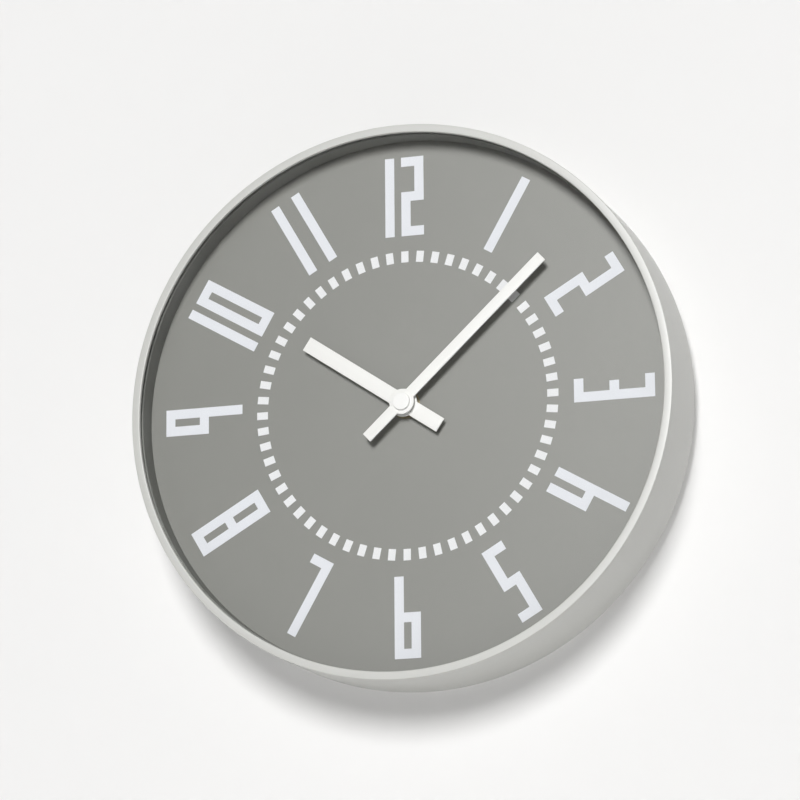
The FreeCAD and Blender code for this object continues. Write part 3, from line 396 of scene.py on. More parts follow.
@dataclass(frozen=True)
class Metal:
    """Bare or plated metal with the marks of its making."""

    name: str
    colour: Colour
    roughness: float = 0.3
    lay: Lay = Lay.TUMBLED
    stain: float = 0.12
    stains: float = 160.0
    sheen: float = 0.08
    polish: float = 0.06
    mark_depth: float = 0.000006

    def material(self) -> bpy.types.Material:
        """Builds the finish.

        Returns:
            The material.
        """
        graph = Graph.material(self.name)
        marks = graph.noise(*LAYS[self.lay])
        cloud = graph.noise(self.stains, 3.0)
        return graph.principled({
            "Base Color": graph.blend(cloud, self.colour, shade(self.colour, 1 - self.stain)),
            "Metallic": 1.0,
            "Roughness": self.roughness - self.polish + (cloud + marks) * self.sheen,
            "Normal": graph.bump(marks, self.mark_depth),
        })


@dataclass(frozen=True)
class Rubber:
    """Matt rubber with a dusty bloom."""

    name: str
    colour: Colour
    dust: Colour = (0.08, 0.08, 0.08)
    dusty: float = 0.5
    roughness: float = 0.75
    sheen: float = 0.15
    grain: float = 2400.0
    grain_depth: float = 0.00001

    def material(self) -> bpy.types.Material:
        """Builds the finish.

        Returns:
            The material.
        """
        graph = Graph.material(self.name)
        bloom = graph.noise(220.0, 4.0)
        return graph.principled({
            "Base Color": graph.blend(bloom * self.dusty, self.colour, self.dust),
            "Roughness": self.roughness + bloom * self.sheen,
            "Normal": graph.bump(graph.noise(self.grain), self.grain_depth),
        })


@dataclass(frozen=True)
class Winding:
    """Enamelled wire wound turn beside turn along X."""

    name: str
    colour: Colour
    pitch: float = 0.00012
    shadow: float = 0.45
    roughness: float = 0.42
    sheen: float = 0.12
    depth: float = 0.00003

    def material(self) -> bpy.types.Material:
        """Builds the finish.

        Returns:
            The material.
        """
        graph = Graph.material(self.name)
        turns = graph.add("ShaderNodeTexWave", {"bands_direction": "X"}, {
            "Vector": graph.place(), "Scale": WAVE_PITCH / self.pitch, "Distortion": 0.3})
        return graph.principled({
            # The darker colour between the turns is painted shade in the grooves.
            "Base Color": graph.blend(turns, shade(self.colour, self.shadow), self.colour),
            "Metallic": 0.9,
            "Roughness": self.roughness - turns * self.sheen,
            "Normal": graph.bump(turns, self.depth),
        })


@dataclass(frozen=True)
class Board:
    """Green solder mask over etched tracks."""

    name: str
    colour: Colour
    track: Colour = (0.14, 0.36, 0.14)
    covered: float = 0.6
    roughness: float = 0.32
    sheen: float = 0.08
    depth: float = 0.00003

    def material(self) -> bpy.types.Material:
        """Builds the finish.

        Returns:
            The material.
        """
        graph = Graph.material(self.name)
        tracks = graph.add("ShaderNodeTexBrick", {"offset": 0.37}, {
            "Vector": graph.place((1.0, 0.0, 1.0)),
            "Scale": 260.0,
            "Mortar Size": 0.06,
            "Color1": (0, 0, 0),
            "Color2": (0, 0, 0),
            "Mortar": (1, 1, 1),
        }, "Fac")
        weave = graph.noise(1500.0, 1.0)
        return graph.principled({
            "Base Color": graph.blend(tracks * self.covered, self.colour, self.track),
            "Roughness": self.roughness + weave * self.sheen,
            "Normal": graph.bump(tracks, self.depth),
        })


@dataclass(frozen=True)
class Jacket:
    """Plain shrunk jacket of a cell, with bands along X and bare ends."""

    name: str
    low: float
    high: float
    tube: Colour = (0.025, 0.028, 0.03)
    band: Colour = (0.55, 0.30, 0.06)
    can: Colour = (0.6, 0.6, 0.58)
    band_start: float = 0.035
    band_end: float = 0.3
    tube_end: float = 0.985
    roughness: float = 0.28
    sheen: float = 0.08
    depth: float = 0.00002

    def material(self) -> bpy.types.Material:
        """Builds the finish.

        Returns:
            The material.
        """
        graph = Graph.material(self.name)
        along = graph.add("ShaderNodeSeparateXYZ", {}, {0: graph.place()})
        share = (along - self.low) / (self.high - self.low)
        covered = share.above(self.band_start)
        bare = share.above(self.tube_end) + (1.0 - covered)
        jacket = graph.blend(covered - share.above(self.band_end), self.tube, self.band)
        film = graph.noise(300.0)
        return graph.principled({
            "Base Color": graph.blend(bare, jacket, self.can),
            "Metallic": bare * 0.9,
            "Roughness": self.roughness + film * self.sheen,
            "Normal": graph.bump(film, self.depth),
        })


@dataclass(frozen=True)
class Glass:
    """Thin clear pane with a low sheen."""

    name: str
    sheen: float = 0.1
    index: float = 1.45
    clear: Colour = (0.988, 0.988, 0.986)
    haze: float = 0.02

    def material(self) -> bpy.types.Material:
        """Builds the finish.

        Returns:
            The material.
        """
        graph = Graph.material(self.name)
        dust = graph.noise(90.0, 3.0)
        gloss = graph.add("ShaderNodeBsdfPrincipled", {}, {
            "Base Color": (1.0, 1.0, 1.0),
            "Metallic": 1.0,
            "Roughness": self.haze + dust * self.haze,
        })
        clear = graph.add("ShaderNodeBsdfTransparent", {}, {0: self.clear})
        edge = graph.add("ShaderNodeFresnel", {}, {"IOR": self.index}) * self.sheen
        return graph.finish(graph.add("ShaderNodeMixShader", {}, {0: edge, 1: clear, 2: gloss}))


Finish = Union[MouldedPlastic, Paint, Ink, Metal, Rubber, Winding, Board, Jacket, Glass]


@functools.cache
def material_of(finish: Finish) -> bpy.types.Material:
    """The one material of a finish."""
    return finish.material()


CASE_GREY = MouldedPlastic("case_grey", (0.53, 0.532, 0.508), roughness=0.40, grain=1300.0,
                           grain_depth=0.000006, mottle=0.012, gloss=0.8)
BACK_GREY = MouldedPlastic("back_grey", (0.55, 0.552, 0.53), roughness=0.55, grain=1100.0,
                           grain_depth=0.00002, mottle=0.02)
INNER_GREY = MouldedPlastic("inner_grey", (0.21, 0.213, 0.20), roughness=0.6, grain=1400.0,
                            grain_depth=0.000006, mottle=0.015, gloss=0.3)
DIAL_GREY = MouldedPlastic("dial_grey", (0.188, 0.190, 0.173), roughness=0.39, grain=2200.0,
                           grain_depth=0.000004, mottle=0.015, gloss=1.0)
NUMERAL_WHITE = Ink("numeral_white", (0.745, 0.765, 0.81), ground=(0.30, 0.305, 0.28))
MINUTE_WHITE = Ink("minute_white", (0.79, 0.80, 0.815), ground=(0.30, 0.305, 0.28))
HAND_WHITE = Paint("hand_white", (0.87, 0.87, 0.85))
CAP_WHITE = MouldedPlastic("cap_white", (0.88, 0.88, 0.87), grain_depth=0.000004, mottle=0.01)
LENS_GLASS = Glass("lens_glass")
BRASS = Metal("brass", (0.70, 0.52, 0.22), lay=Lay.TURNED)
# Painted shade: a darker copy of the brass for the nut and washer, which sit under the hands.
SHADED_BRASS = Metal("shaded_brass", (0.38, 0.34, 0.235), roughness=0.48, lay=Lay.TURNED)
ZINC = Metal("zinc_plate", (0.62, 0.63, 0.66), roughness=0.34, lay=Lay.ROLLED)
SCREW_ZINC = Metal("screw_zinc", (0.60, 0.61, 0.64), roughness=0.32)
NICKEL = Metal("nickel", (0.70, 0.68, 0.62), roughness=0.22, lay=Lay.ROLLED)
MAGNET = Metal("sintered_magnet", (0.12, 0.12, 0.13), roughness=0.5)
SILICON_STEEL = Metal("silicon_steel", (0.42, 0.42, 0.45), roughness=0.38, lay=Lay.ROLLED)
SEALING_RUBBER = Rubber("sealing_rubber", (0.02, 0.02, 0.02))
MOVEMENT_BLACK = MouldedPlastic("movement_black", (0.022, 0.022, 0.024), roughness=0.45, grain=1600.0,
                                grain_depth=0.000015, mottle=0.1)
WHEEL_WHITE = MouldedPlastic("wheel_acetal", (0.78, 0.77, 0.72), roughness=0.4, grain=1800.0,
                             grain_depth=0.000004, mottle=0.02)
KNOB_RED = MouldedPlastic("knob_red", (0.50, 0.035, 0.02), roughness=0.42, mottle=0.04)
BOBBIN = MouldedPlastic("bobbin_resin", (0.62, 0.6, 0.52), roughness=0.45)
CHIP_RESIN = MouldedPlastic("chip_resin", (0.012, 0.012, 0.013), grain=3000.0, mottle=0.1)
COPPER = Winding("copper_wire", (0.66, 0.26, 0.10))
SOLDER_MASK = Board("solder_mask", (0.02, 0.16, 0.05))


# Mesh making


@dataclass(frozen=True)
class Corner:
    """A corner of a turned profile: radius, height from the wall and edge rounding, in millimetres."""

    radius: float
    height: float
    round: float = 0.0


class Workshop:
    """Turns, lofts and thickens shapes with bmesh, and makes them finished objects."""

    TURN_STEPS = 256
    ROUND_SEGMENTS = 6
    SHARP_ANGLE = 30.0
    MERGE = 1e-7
    SPECK = 1e-8

    @classmethod
    def finish(cls, name: str, mesh: bmesh.types.BMesh, finish: Finish) -> bpy.types.Object:
        """Turns a bmesh into a dressed object.

        Args:
            name: The piece's name.
            mesh: Its bmesh, in metres and in place.
            finish: Its finish.

        Returns:
            The object.
        """
        bmesh.ops.remove_doubles(mesh, verts=mesh.verts, dist=cls.MERGE)
        bmesh.ops.dissolve_degenerate(mesh, dist=cls.SPECK, edges=mesh.edges)
        bmesh.ops.recalc_face_normals(mesh, faces=mesh.faces)
        data = bpy.data.meshes.new(name)
        mesh.to_mesh(data)
        mesh.free()
        data.shade_smooth()
        data.set_sharp_from_angle(angle=math.radians(cls.SHARP_ANGLE))
        data.materials.append(material_of(finish))
        piece = bpy.data.objects.new(name, data)
        bpy.context.scene.collection.objects.link(piece)
        return piece

    @classmethod
    def turned(cls, name: str, corners: Sequence[Corner], finish: Finish,
               steps: int = TURN_STEPS) -> bpy.types.Object:
        """A closed profile spun about the hands' axis.

        Args:
            name: The piece's name.
            corners: The profile's corners in order.
            finish: Its finish.
            steps: Steps round the axis.

        Returns:
            The object.
        """
        mesh = bmesh.new()
        verts = [mesh.verts.new((c.radius * MM, -c.height * MM, 0.0)) for c in corners]
        for first, second in zip(verts, verts[1:] + verts[:1]):
            mesh.edges.new((first, second))
        for vert, corner in zip(verts, corners):
            if corner.round:
                bmesh.ops.bevel(mesh, geom=[vert], offset=corner.round * MM, offset_type="OFFSET",
                                segments=cls.ROUND_SEGMENTS, profile=0.5, affect="VERTICES", material=-1)
        bmesh.ops.spin(mesh, geom=mesh.verts[:] + mesh.edges[:], cent=(0, 0, 0), axis=(0, 1, 0),
                       angle=math.tau, steps=steps, use_merge=True)
        return cls.finish(name, mesh, finish)

    @staticmethod
    def join(whole: bmesh.types.BMesh, part: bmesh.types.BMesh) -> None:
        """Moves a bmesh into another and frees it.

        Args:
            whole: The bmesh that grows.
            part: The bmesh that is used up.
        """
        data = bpy.data.meshes.new("part")
        part.to_mesh(data)
        part.free()
        whole.from_mesh(data)
        bpy.data.meshes.remove(data)

    @staticmethod
    def loft(mesh: bmesh.types.BMesh, loops: Sequence[Sequence[Spot]], closed: bool) -> None:
        """Adds a skin over loops of points.

        Args:
            mesh: The bmesh to add to.
            loops: Loops with equal numbers of points (X, height, Z), in millimetres.
            closed: Whether the last loop joins the first one.
        """
        rows = [[mesh.verts.new((x * MM, -height * MM, z * MM)) for x, height, z in loop] for loop in loops]
        pairs = zip(rows, rows[1:] + rows[:1]) if closed else zip(rows, rows[1:])
        for first, second in pairs:
            for k in range(len(first)):
                mesh.faces.new((first[k - 1], first[k], second[k], second[k - 1]))

    @staticmethod
    def thicken(mesh: bmesh.types.BMesh, faces: Sequence[bmesh.types.BMFace], shift: Spot) -> None:
        """Extrudes flat faces into plates.

        Args:
            mesh: The bmesh that holds the faces.
            faces: The faces.
            shift: Way of the extruded side, in the bmesh's own unit.
        """
        extruded = bmesh.ops.extrude_face_region(mesh, geom=faces)["geom"]
        moved = [v for v in extruded if isinstance(v, bmesh.types.BMVert)]
        bmesh.ops.translate(mesh, verts=moved, vec=shift)


# Parts


@dataclass
class CaseFront:
    """The moulded case with its narrow front rim, and the dark wall round the dial."""

    wall: float = 2.5
    lip: float = 1.5
    lip_radius: float = 123.3
    lip_edge: float = 0.5
    crown: float = 0.16
    rim_edge: float = 0.35
    rear_round: float = 11.0
    rear_steps: int = 10
    seam: float = 6.5
    seam_edge: float = 0.12
    mouth_edge: float = 0.1
    inner_radius: float = 122.9
    inner_edge: float = 0.15

    def shell(self) -> bpy.types.Object:
        """Turns the case, from its rim over the side to the rear seam.

        Returns:
            The object.
        """
        low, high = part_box("case")
        radius, front = high.x / MM, -low.y / MM
        bore, middle = radius - self.wall, radius - self.rear_round
        end = math.asin((self.rear_round - self.seam) / self.rear_round)
        turns = [end * k / self.rear_steps for k in range(1, self.rear_steps)]
        return Workshop.turned("case_shell", [
            Corner(self.lip_radius, front, self.lip_edge),
            Corner(radius, front - self.crown, self.rim_edge),
            Corner(radius, self.rear_round),
            *(Corner(middle + self.rear_round * math.cos(a), self.rear_round * (1 - math.sin(a)))
              for a in turns),
            Corner(middle + self.rear_round * math.cos(end), self.seam, self.seam_edge),
            Corner(bore, self.seam, self.mouth_edge),
            Corner(bore, front - self.lip),
            Corner(self.lip_radius, front - self.lip),
        ], CASE_GREY)

    def inner_wall(self) -> bpy.types.Object:
        """Turns the wall between glass and dial.

        Returns:
            The object.
        """
        low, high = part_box("spacer_ring")
        back, top, outer = -high.y / MM, -low.y / MM, high.x / MM
        return Workshop.turned("inner_wall", [
            Corner(self.inner_radius, back),
            Corner(outer, back),
            Corner(outer, top),
            Corner(self.inner_radius, top, self.inner_edge),
        ], INNER_GREY)

    def build(self) -> Iterable[tuple[bpy.types.Object, str]]:
        """Builds both pieces, each with the CAD node that it stands for."""
        yield self.shell(), "case"
        yield self.inner_wall(), "spacer_ring"


GLYPHS: Mapping[str, Sequence[str]] = {
    "0": ("###", "#.#", "#.#", "#.#", "###"),
    "1": ("#", "#", "#", "#", "#"),
    "2": ("###", "..#", "###", "#..", "###"),
    "3": ("###", "..#", ".##", "..#", "###"),
    "4": ("#.#", "#.#", "###", "..#", "..#"),
    "5": ("###", "#..", "###", "..#", "###"),
    "6": ("#..", "#..", "###", "#.#", "###"),
    "7": ("###", "..#", "..#", "..#", "..#"),
    "8": ("###", "#.#", "###", "#.#", "###"),
    "9": ("###", "#.#", "###", "..#", "..#"),
}


@dataclass
class DialPrint:
    """White block numerals and sixty minute blocks printed on the dial.

    The numerals of the inward hours have their heads towards the hands' axis.
    """

    inner: float = 78.45
    outer: float = 115.6
    stroke: float = 4.4
    closed_width: float = 12.3
    open_width: float = 10.7
    gap: float = 3.3
    eleven_gap: float = 6.75
    stub: float = 1.9
    ink: float = 0.05
    minute_radius: float = 68.7
    minute_width: float = 3.45
    minute_length: float = 5.2
    closed: str = "04689"
    inward: tuple[int, ...] = (4, 5, 6, 7, 8)

    def width(self, digit: str) -> float:
        """Width of a digit.

        Args:
            digit: The digit.

        Returns:
            Its width in millimetres.
        """
        if digit == "1":
            return self.stroke
        return self.closed_width if digit in self.closed else self.open_width

    def columns(self, digit: str) -> list[float]:
        """Edges of a digit's columns, from its left side.

        Args:
            digit: The digit.

        Returns:
            The edges in millimetres.
        """
        width = self.width(digit)
        if digit == "1":
            return [0.0, width]
        left = self.stub if digit == "3" else self.stroke
        return [0.0, left, width - self.stroke, width]

    def rows(self) -> list[float]:
        """Edges of a digit's rows, from its foot."""
        tall, half = self.outer - self.inner, self.stroke / 2
        return [0.0, self.stroke, tall / 2 - half, tall / 2 + half, tall - self.stroke, tall]

    def digit(self, digit: str, left: float) -> bmesh.types.BMesh:
        """One digit as an upright flat grid with its empty cells cut out.

        Args:
            digit: The digit.
            left: Its left side in millimetres.

        Returns:
            A bmesh in X and Y, in millimetres, with half its height below the X axis.
        """
        xs, ys = self.columns(digit), self.rows()
        mesh = bmesh.new()
        bmesh.ops.create_grid(mesh, x_segments=len(xs) - 1, y_segments=len(ys) - 1, size=1.0)
        for face in list(mesh.faces):
            spot = face.calc_center_median()
            column = int((spot.x + 1) / 2 * (len(xs) - 1))
            row = int((spot.y + 1) / 2 * (len(ys) - 1))
            if GLYPHS[digit][len(ys) - 2 - row][column] == ".":
                mesh.faces.remove(face)
        for vert in mesh.verts:
            column = round((vert.co.x + 1) / 2 * (len(xs) - 1))
            row = round((vert.co.y + 1) / 2 * (len(ys) - 1))
            vert.co = Vector((left + xs[column], ys[row] - ys[-1] / 2, 0.0))
        bmesh.ops.delete(mesh, geom=[v for v in mesh.verts if not v.link_faces], context="VERTS")
        return mesh

    def numeral(self, hour: int, height: float) -> bpy.types.Object:
        """One hour's numeral on the dial.

        Args:
            hour: The hour.
            height: Height of the dial face in millimetres.

        Returns:
            The object.
        """
        text = str(hour)
        widths = [self.width(d) for d in text]
        gap = self.eleven_gap if hour == 11 else self.gap
        left = -(sum(widths) + gap * (len(text) - 1)) / 2
        whole = bmesh.new()
        for digit, width in zip(text, widths):
            Workshop.join(whole, self.digit(digit, left))
            left += width + gap
        Workshop.thicken(whole, whole.faces[:], (0, 0, self.ink))
        stand = Matrix.Rotation(math.radians(90), 4, "X")
        flip = Matrix.Rotation(math.pi if hour in self.inward else 0.0, 4, "Y")
        place = Matrix.Translation((0, -height, (self.inner + self.outer) / 2))
        turn = Matrix.Rotation(math.tau * hour / 12, 4, "Y")
        bmesh.ops.transform(whole, matrix=Matrix.Scale(MM, 4) @ turn @ place @ flip @ stand,
                            verts=whole.verts)
        return Workshop.finish(f"numeral_{hour}", whole, NUMERAL_WHITE)

    def minutes(self, height: float) -> bpy.types.Object:
        """The ring of minute blocks.

        Args:
            height: Height of the dial face in millimetres.

        Returns:
            The object.
        """
        mesh = bmesh.new()
        size = Matrix.Diagonal((self.minute_width, self.ink, self.minute_length, 1.0))
        place = Matrix.Translation((0, -height - self.ink / 2, self.minute_radius))
        for minute in range(60):
            turn = Matrix.Rotation(math.tau * minute / 60, 4, "Y")
            bmesh.ops.create_cube(mesh, size=1.0, matrix=Matrix.Scale(MM, 4) @ turn @ place @ size)
        return Workshop.finish("minute_blocks", mesh, MINUTE_WHITE)

    def build(self) -> Iterable[bpy.types.Object]:
        """Builds the print on the dial face.

        Returns:
            The numerals and the ring of blocks.
        """
        height = -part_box("dial_plate")[0].y / MM
        for hour in range(1, 13):
            yield self.numeral(hour, height)
        yield self.minutes(height)


@dataclass
class Hand:
    """A flat painted baton with a round hub, a pressed collet and a rolled front edge.

    The roll has one loop between its ends, at a share of the edge's width.
    """

    name: str
    node: str
    body: str
    width: float
    tip: float
    tail: float
    hub: float
    collet: float
    collet_length: float
    bore: float
    angle: float
    thickness: float = 0.6
    edge: float = 0.12
    roll: float = 0.3
    arc_steps: int = 32
    side_steps: int = 6

    def outline(self, inset: float) -> list[Point]:
        """The outline of the hand pointing to twelve.

        Args:
            inset: Distance inside the full outline.

        Returns:
            The corners, clockwise from the tail's right end.
        """
        half, hub = self.width / 2 - inset, self.hub - inset
        shoulder = math.asin(half / hub)
        tip, tail = self.tip - inset, self.tail - inset
        tail_side = self.side(half, math.pi - math.atan(half / tail), math.pi - shoulder)
        tip_side = self.side(half, shoulder, math.atan(half / tip))
        hub_arc = self.arc(hub, math.pi - shoulder, shoulder)
        right = tail_side[:-1] + hub_arc + tip_side[1:]
        return right + [(-x, z) for x, z in reversed(right)]

    def side(self, half: float, start: float, end: float) -> list[Point]:
        """Points on a straight side between two angles from twelve."""
        angles = [start + (end - start) * k / self.side_steps for k in range(self.side_steps + 1)]
        return [(half, half / math.tan(a)) for a in angles]

    def arc(self, radius: float, start: float, end: float) -> list[Point]:
        """Points on an arc between two angles from twelve."""
        angles = [start + (end - start) * k / self.arc_steps for k in range(self.arc_steps + 1)]
        return [(radius * math.sin(a), radius * math.cos(a)) for a in angles]

    def build(self) -> bpy.types.Object:
        """Builds the hand at its rest angle, with its collet and bore.

        Returns:
            The object.
        """
        face = -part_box(self.node)[0].y / MM
        back = face - self.thickness
        foot = back - self.collet_length
        full = self.outline(0.0)
        directions = [Vector(point).normalized() for point in full]

        def ring(radius: float, height: float) -> list[Spot]:
            """A circle with a point in line with each of the outline's corners."""
            return [(radius * d.x, height, radius * d.y) for d in directions]

        def level(inset: float, height: float) -> list[Spot]:
            """The outline at a height."""
            return [(x, height, z) for x, z in self.outline(inset)]

        mesh = bmesh.new()
        Workshop.loft(mesh, [
            ring(self.bore, foot),
            ring(self.collet, foot),
            ring(self.collet, back),
            level(0.0, back),
            level(0.0, face - self.edge),
            level(self.edge * self.roll, face - self.edge * self.roll),
            level(self.edge, face),
            ring(self.bore, face),
        ], closed=True)
        bmesh.ops.rotate(mesh, cent=(0, 0, 0), matrix=Matrix.Rotation(math.radians(self.angle), 3, "Y"),
                         verts=mesh.verts)
        return Workshop.finish(self.name, mesh, HAND_WHITE)


HANDS = (
    Hand("hour_baton", "hour_hand", "hour", width=6.95, tip=55.4, tail=20.8, hub=6.4,
         collet=3.6, collet_length=0.7, bore=2.5, angle=304.1),
    Hand("minute_baton", "minute_hand", "minute", width=5.1, tip=90.4, tail=22.7, hub=5.8,
         collet=3.0, collet_length=1.2, bore=1.8, angle=47.1),
)


@dataclass
class HubCap:
    """Low round boss on the minute hand."""

    radius: float = 4.0
    edge: float = 0.35
    steps: int = 96

    def build(self) -> bpy.types.Object:
        """Builds the boss.

        Returns:
            The object.
        """
        low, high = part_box("minute_cap")
        front, back = -low.y / MM, -high.y / MM
        return Workshop.turned("hub_boss", [
            Corner(0.0, back),
            Corner(self.radius, back),
            Corner(self.radius, front, self.edge),
            Corner(0.0, front),
        ], CAP_WHITE, self.steps)


@dataclass
class HexNut:
    """Hexagon nut with chamfered corners on the dial bush."""

    flat: float = 11.0
    bore: float = 4.0
    land: float = 5.3
    slope: float = 0.55
    break_edge: float = 0.3
    side_steps: int = 12

    def build(self) -> bpy.types.Object:
        """Builds the nut.

        Returns:
            The object.
        """
        low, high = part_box("fixing_nut")
        back, face = -high.y / MM, -low.y / MM
        side = math.tau / 6
        turns = [side * k / self.side_steps for k in range(6 * self.side_steps)]
        reach = [self.flat / 2 / math.cos(a % side - side / 2) for a in turns]

        def ring(radii: Iterable[float], heights: Iterable[float]) -> list[Spot]:
            """A loop with a radius and a height at each angle."""
            return [(r * math.cos(a), h, r * math.sin(a)) for a, r, h in zip(turns, radii, heights)]

        def circle(radius: float, height: float) -> list[Spot]:
            """A level circle."""
            return ring([radius] * len(turns), [height] * len(turns))

        mesh = bmesh.new()
        Workshop.loft(mesh, [
            ring(reach, [back] * len(turns)),
            ring(reach, [face - (r - self.land) * self.slope for r in reach]),
            circle(self.land, face),
            circle(self.bore + self.break_edge, face),
            circle(self.bore, face - self.break_edge),
            circle(self.bore, back),
        ], closed=True)
        return Workshop.finish("hex_nut", mesh, SHADED_BRASS)


@dataclass
class CrossScrews:
    """The two pan-head screws of the hanger plate, with cross recesses."""

    head: float = 2.6
    head_height: float = 1.4
    shank: float = 1.25
    flat: float = 1.75
    arm: float = 1.3
    half: float = 0.33
    recess: float = 0.9
    recess_floor: float = 0.85
    taper: float = 0.6
    point: float = 0.8
    pan: Sequence[Point] = ((0.85, 0.08), (0.94, 0.3), (1.0, 0.65))
    end_steps: int = 4
    side_steps: int = 3

    def angles(self) -> list[float]:
        """Angles round the axis, with one at each corner of the cross.

        Returns:
            The angles, a full turn from one eighth before the X axis.
        """
        corner = math.atan(self.half / self.arm)
        eighth = math.radians(45)
        marks = [(-eighth, -corner, self.side_steps), (-corner, corner, self.end_steps),
                 (corner, eighth, self.side_steps)]
        quarter = [start + (end - start) * k / steps for start, end, steps in marks for k in range(steps)]
        return [math.radians(90 * turn) + a for turn in range(4) for a in quarter]

    def cross(self, angle: float) -> float:
        """Radius of the cross at an angle, on an arm's end or on its side."""
        off = abs((angle + math.radians(45)) % math.radians(90) - math.radians(45))
        return 1 / max(math.cos(off) / self.arm, math.sin(off) / self.half)

    def build(self) -> bpy.types.Object:
        """Builds both screws.

        Returns:
            The object.
        """
        low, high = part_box("hanger_screws")
        top, end = -high.y / MM, -low.y / MM
        seat = top + self.head_height
        turns = self.angles()
        mesh = bmesh.new()
        for middle in (low.z / MM + self.head, high.z / MM - self.head):

            def ring(radii: Iterable[float], height: float) -> list[Spot]:
                """A level loop with a radius at each angle."""
                return [(r * math.cos(a), height, middle + r * math.sin(a)) for a, r in zip(turns, radii)]

            def circle(radius: float, height: float) -> list[Spot]:
                """A level circle."""
                return ring([radius] * len(turns), height)

            Workshop.loft(mesh, [
                circle(0.0, top + self.recess),
                ring([self.cross(a) * self.taper for a in turns], top + self.recess * self.recess_floor),
                ring([self.cross(a) for a in turns], top),
                circle(self.flat, top),
                *(circle(self.head * share, top + drop) for share, drop in self.pan),
                circle(self.head, seat),
                circle(self.shank, seat),
                circle(self.shank, end - self.point),
                circle(0.0, end),
            ], closed=False)
        return Workshop.finish("cross_screws", mesh, SCREW_ZINC)


@dataclass
class PoleSigns:
    """White plus and minus beside the ends of the cell, on the movement's rear."""

    reach: float = 20.0
    level: float = -13.6
    size: float = 2.8
    bar: float = 0.7
    relief: float = 0.1
    root: float = 0.05

    def sign(self, name: str, middle: float, outline: Sequence[Point]) -> bpy.types.Object:
        """One raised sign.

        Args:
            name: The piece's name.
            middle: Its middle along X.
            outline: Its corners about its own middle.

        Returns:
            The object.
        """
        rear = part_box("movement_cover")[1].y / MM
        mesh = bmesh.new()
        corners = [Vector((middle + x, rear - self.root, self.level + z)) * MM for x, z in outline]
        face = mesh.faces.new([mesh.verts.new(corner) for corner in corners])
        Workshop.thicken(mesh, [face], (0, (self.relief + self.root) * MM, 0))
        return Workshop.finish(name, mesh, MINUTE_WHITE)

    def build(self) -> Iterable[bpy.types.Object]:
        """Builds both signs.

        Returns:
            The signs.
        """
        long, short = self.size / 2, self.bar / 2
        plus = [(-long, -short), (-short, -short), (-short, -long), (short, -long), (short, -short),
                (long, -short), (long, short), (short, short), (short, long), (-short, long),
                (-short, short), (-long, short)]
        minus = [(-long, -short), (long, -short), (long, short), (-long, short)]
        yield self.sign("sign_plus", -self.reach, plus)
        yield self.sign("sign_minus", self.reach, minus)


class CadDress:
    """Finishes for the CAD nodes that stay as they are."""

    FINISHES: Mapping[str, Finish] = {
        "lens": LENS_GLASS,
        "dial_plate": DIAL_GREY,
        "back_cover": BACK_GREY,
        "hanger_plate": ZINC,
        "gasket": SEALING_RUBBER,
        "center_bush": BRASS,
        "fixing_washer": SHADED_BRASS,
        "cannon_pinion": BRASS,
        "motion_wheel": WHEEL_WHITE,
        "hour_wheel": WHEEL_WHITE,
        "centre_wheel": WHEEL_WHITE,
        "third_wheel": WHEEL_WHITE,
        "seconds_wheel": WHEEL_WHITE,
        "intermediate_wheel": WHEEL_WHITE,
        "rotor_pinion": WHEEL_WHITE,
        "rotor_magnet": MAGNET,
        "setting_arbor": KNOB_RED,
        "setting_knob": KNOB_RED,
        "movement_base": MOVEMENT_BLACK,
        "movement_cover": MOVEMENT_BLACK,
        "train_bridge": WHEEL_WHITE,
        "stator": SILICON_STEEL,
        "coil_core": SILICON_STEEL,
        "coil_bobbin": BOBBIN,
        "coil_winding": COPPER,
        "circuit_board": SOLDER_MASK,
        "crystal": NICKEL,
        "chip": CHIP_RESIN,
        "contact_plus": NICKEL,
        "contact_minus": NICKEL,
    }

    def dress(self, nodes: Mapping[str, bpy.types.Object]) -> None:
        """Gives each CAD node its finish.

        Args:
            nodes: The CAD nodes by name.
        """
        low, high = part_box("battery_cell")
        finishes = dict(self.FINISHES)
        finishes["battery_cell"] = Jacket("cell_jacket", low.x, high.x)
        for name, finish in finishes.items():
            data = nodes[name].data
            data.materials.clear()
            data.materials.append(material_of(finish))
            LOG.info("dressed %s", name)


# Studio


@dataclass(frozen=True)
class Lamp:
    """A soft oval lamp that faces the clock from a direction."""

    name: str
    direction: Sequence[float]
    distance: float
    width: float
    height: float
    power: float
    spread: float = 180.0

    def hang(self) -> None:
        """Puts the lamp in the studio."""
        place = Vector(self.direction).normalized() * self.distance
        data = bpy.data.lights.new(self.name, "AREA")
        data.shape = "ELLIPSE"
        data.size = self.width
        data.size_y = self.height
        data.energy = self.power
        data.spread = math.radians(self.spread)
        lamp = bpy.data.objects.new(self.name, data)
        lamp.location = place
        lamp.rotation_mode = "QUATERNION"
        lamp.rotation_quaternion = (-place).to_track_quat("-Z", "Y")
        bpy.context.scene.collection.objects.link(lamp)


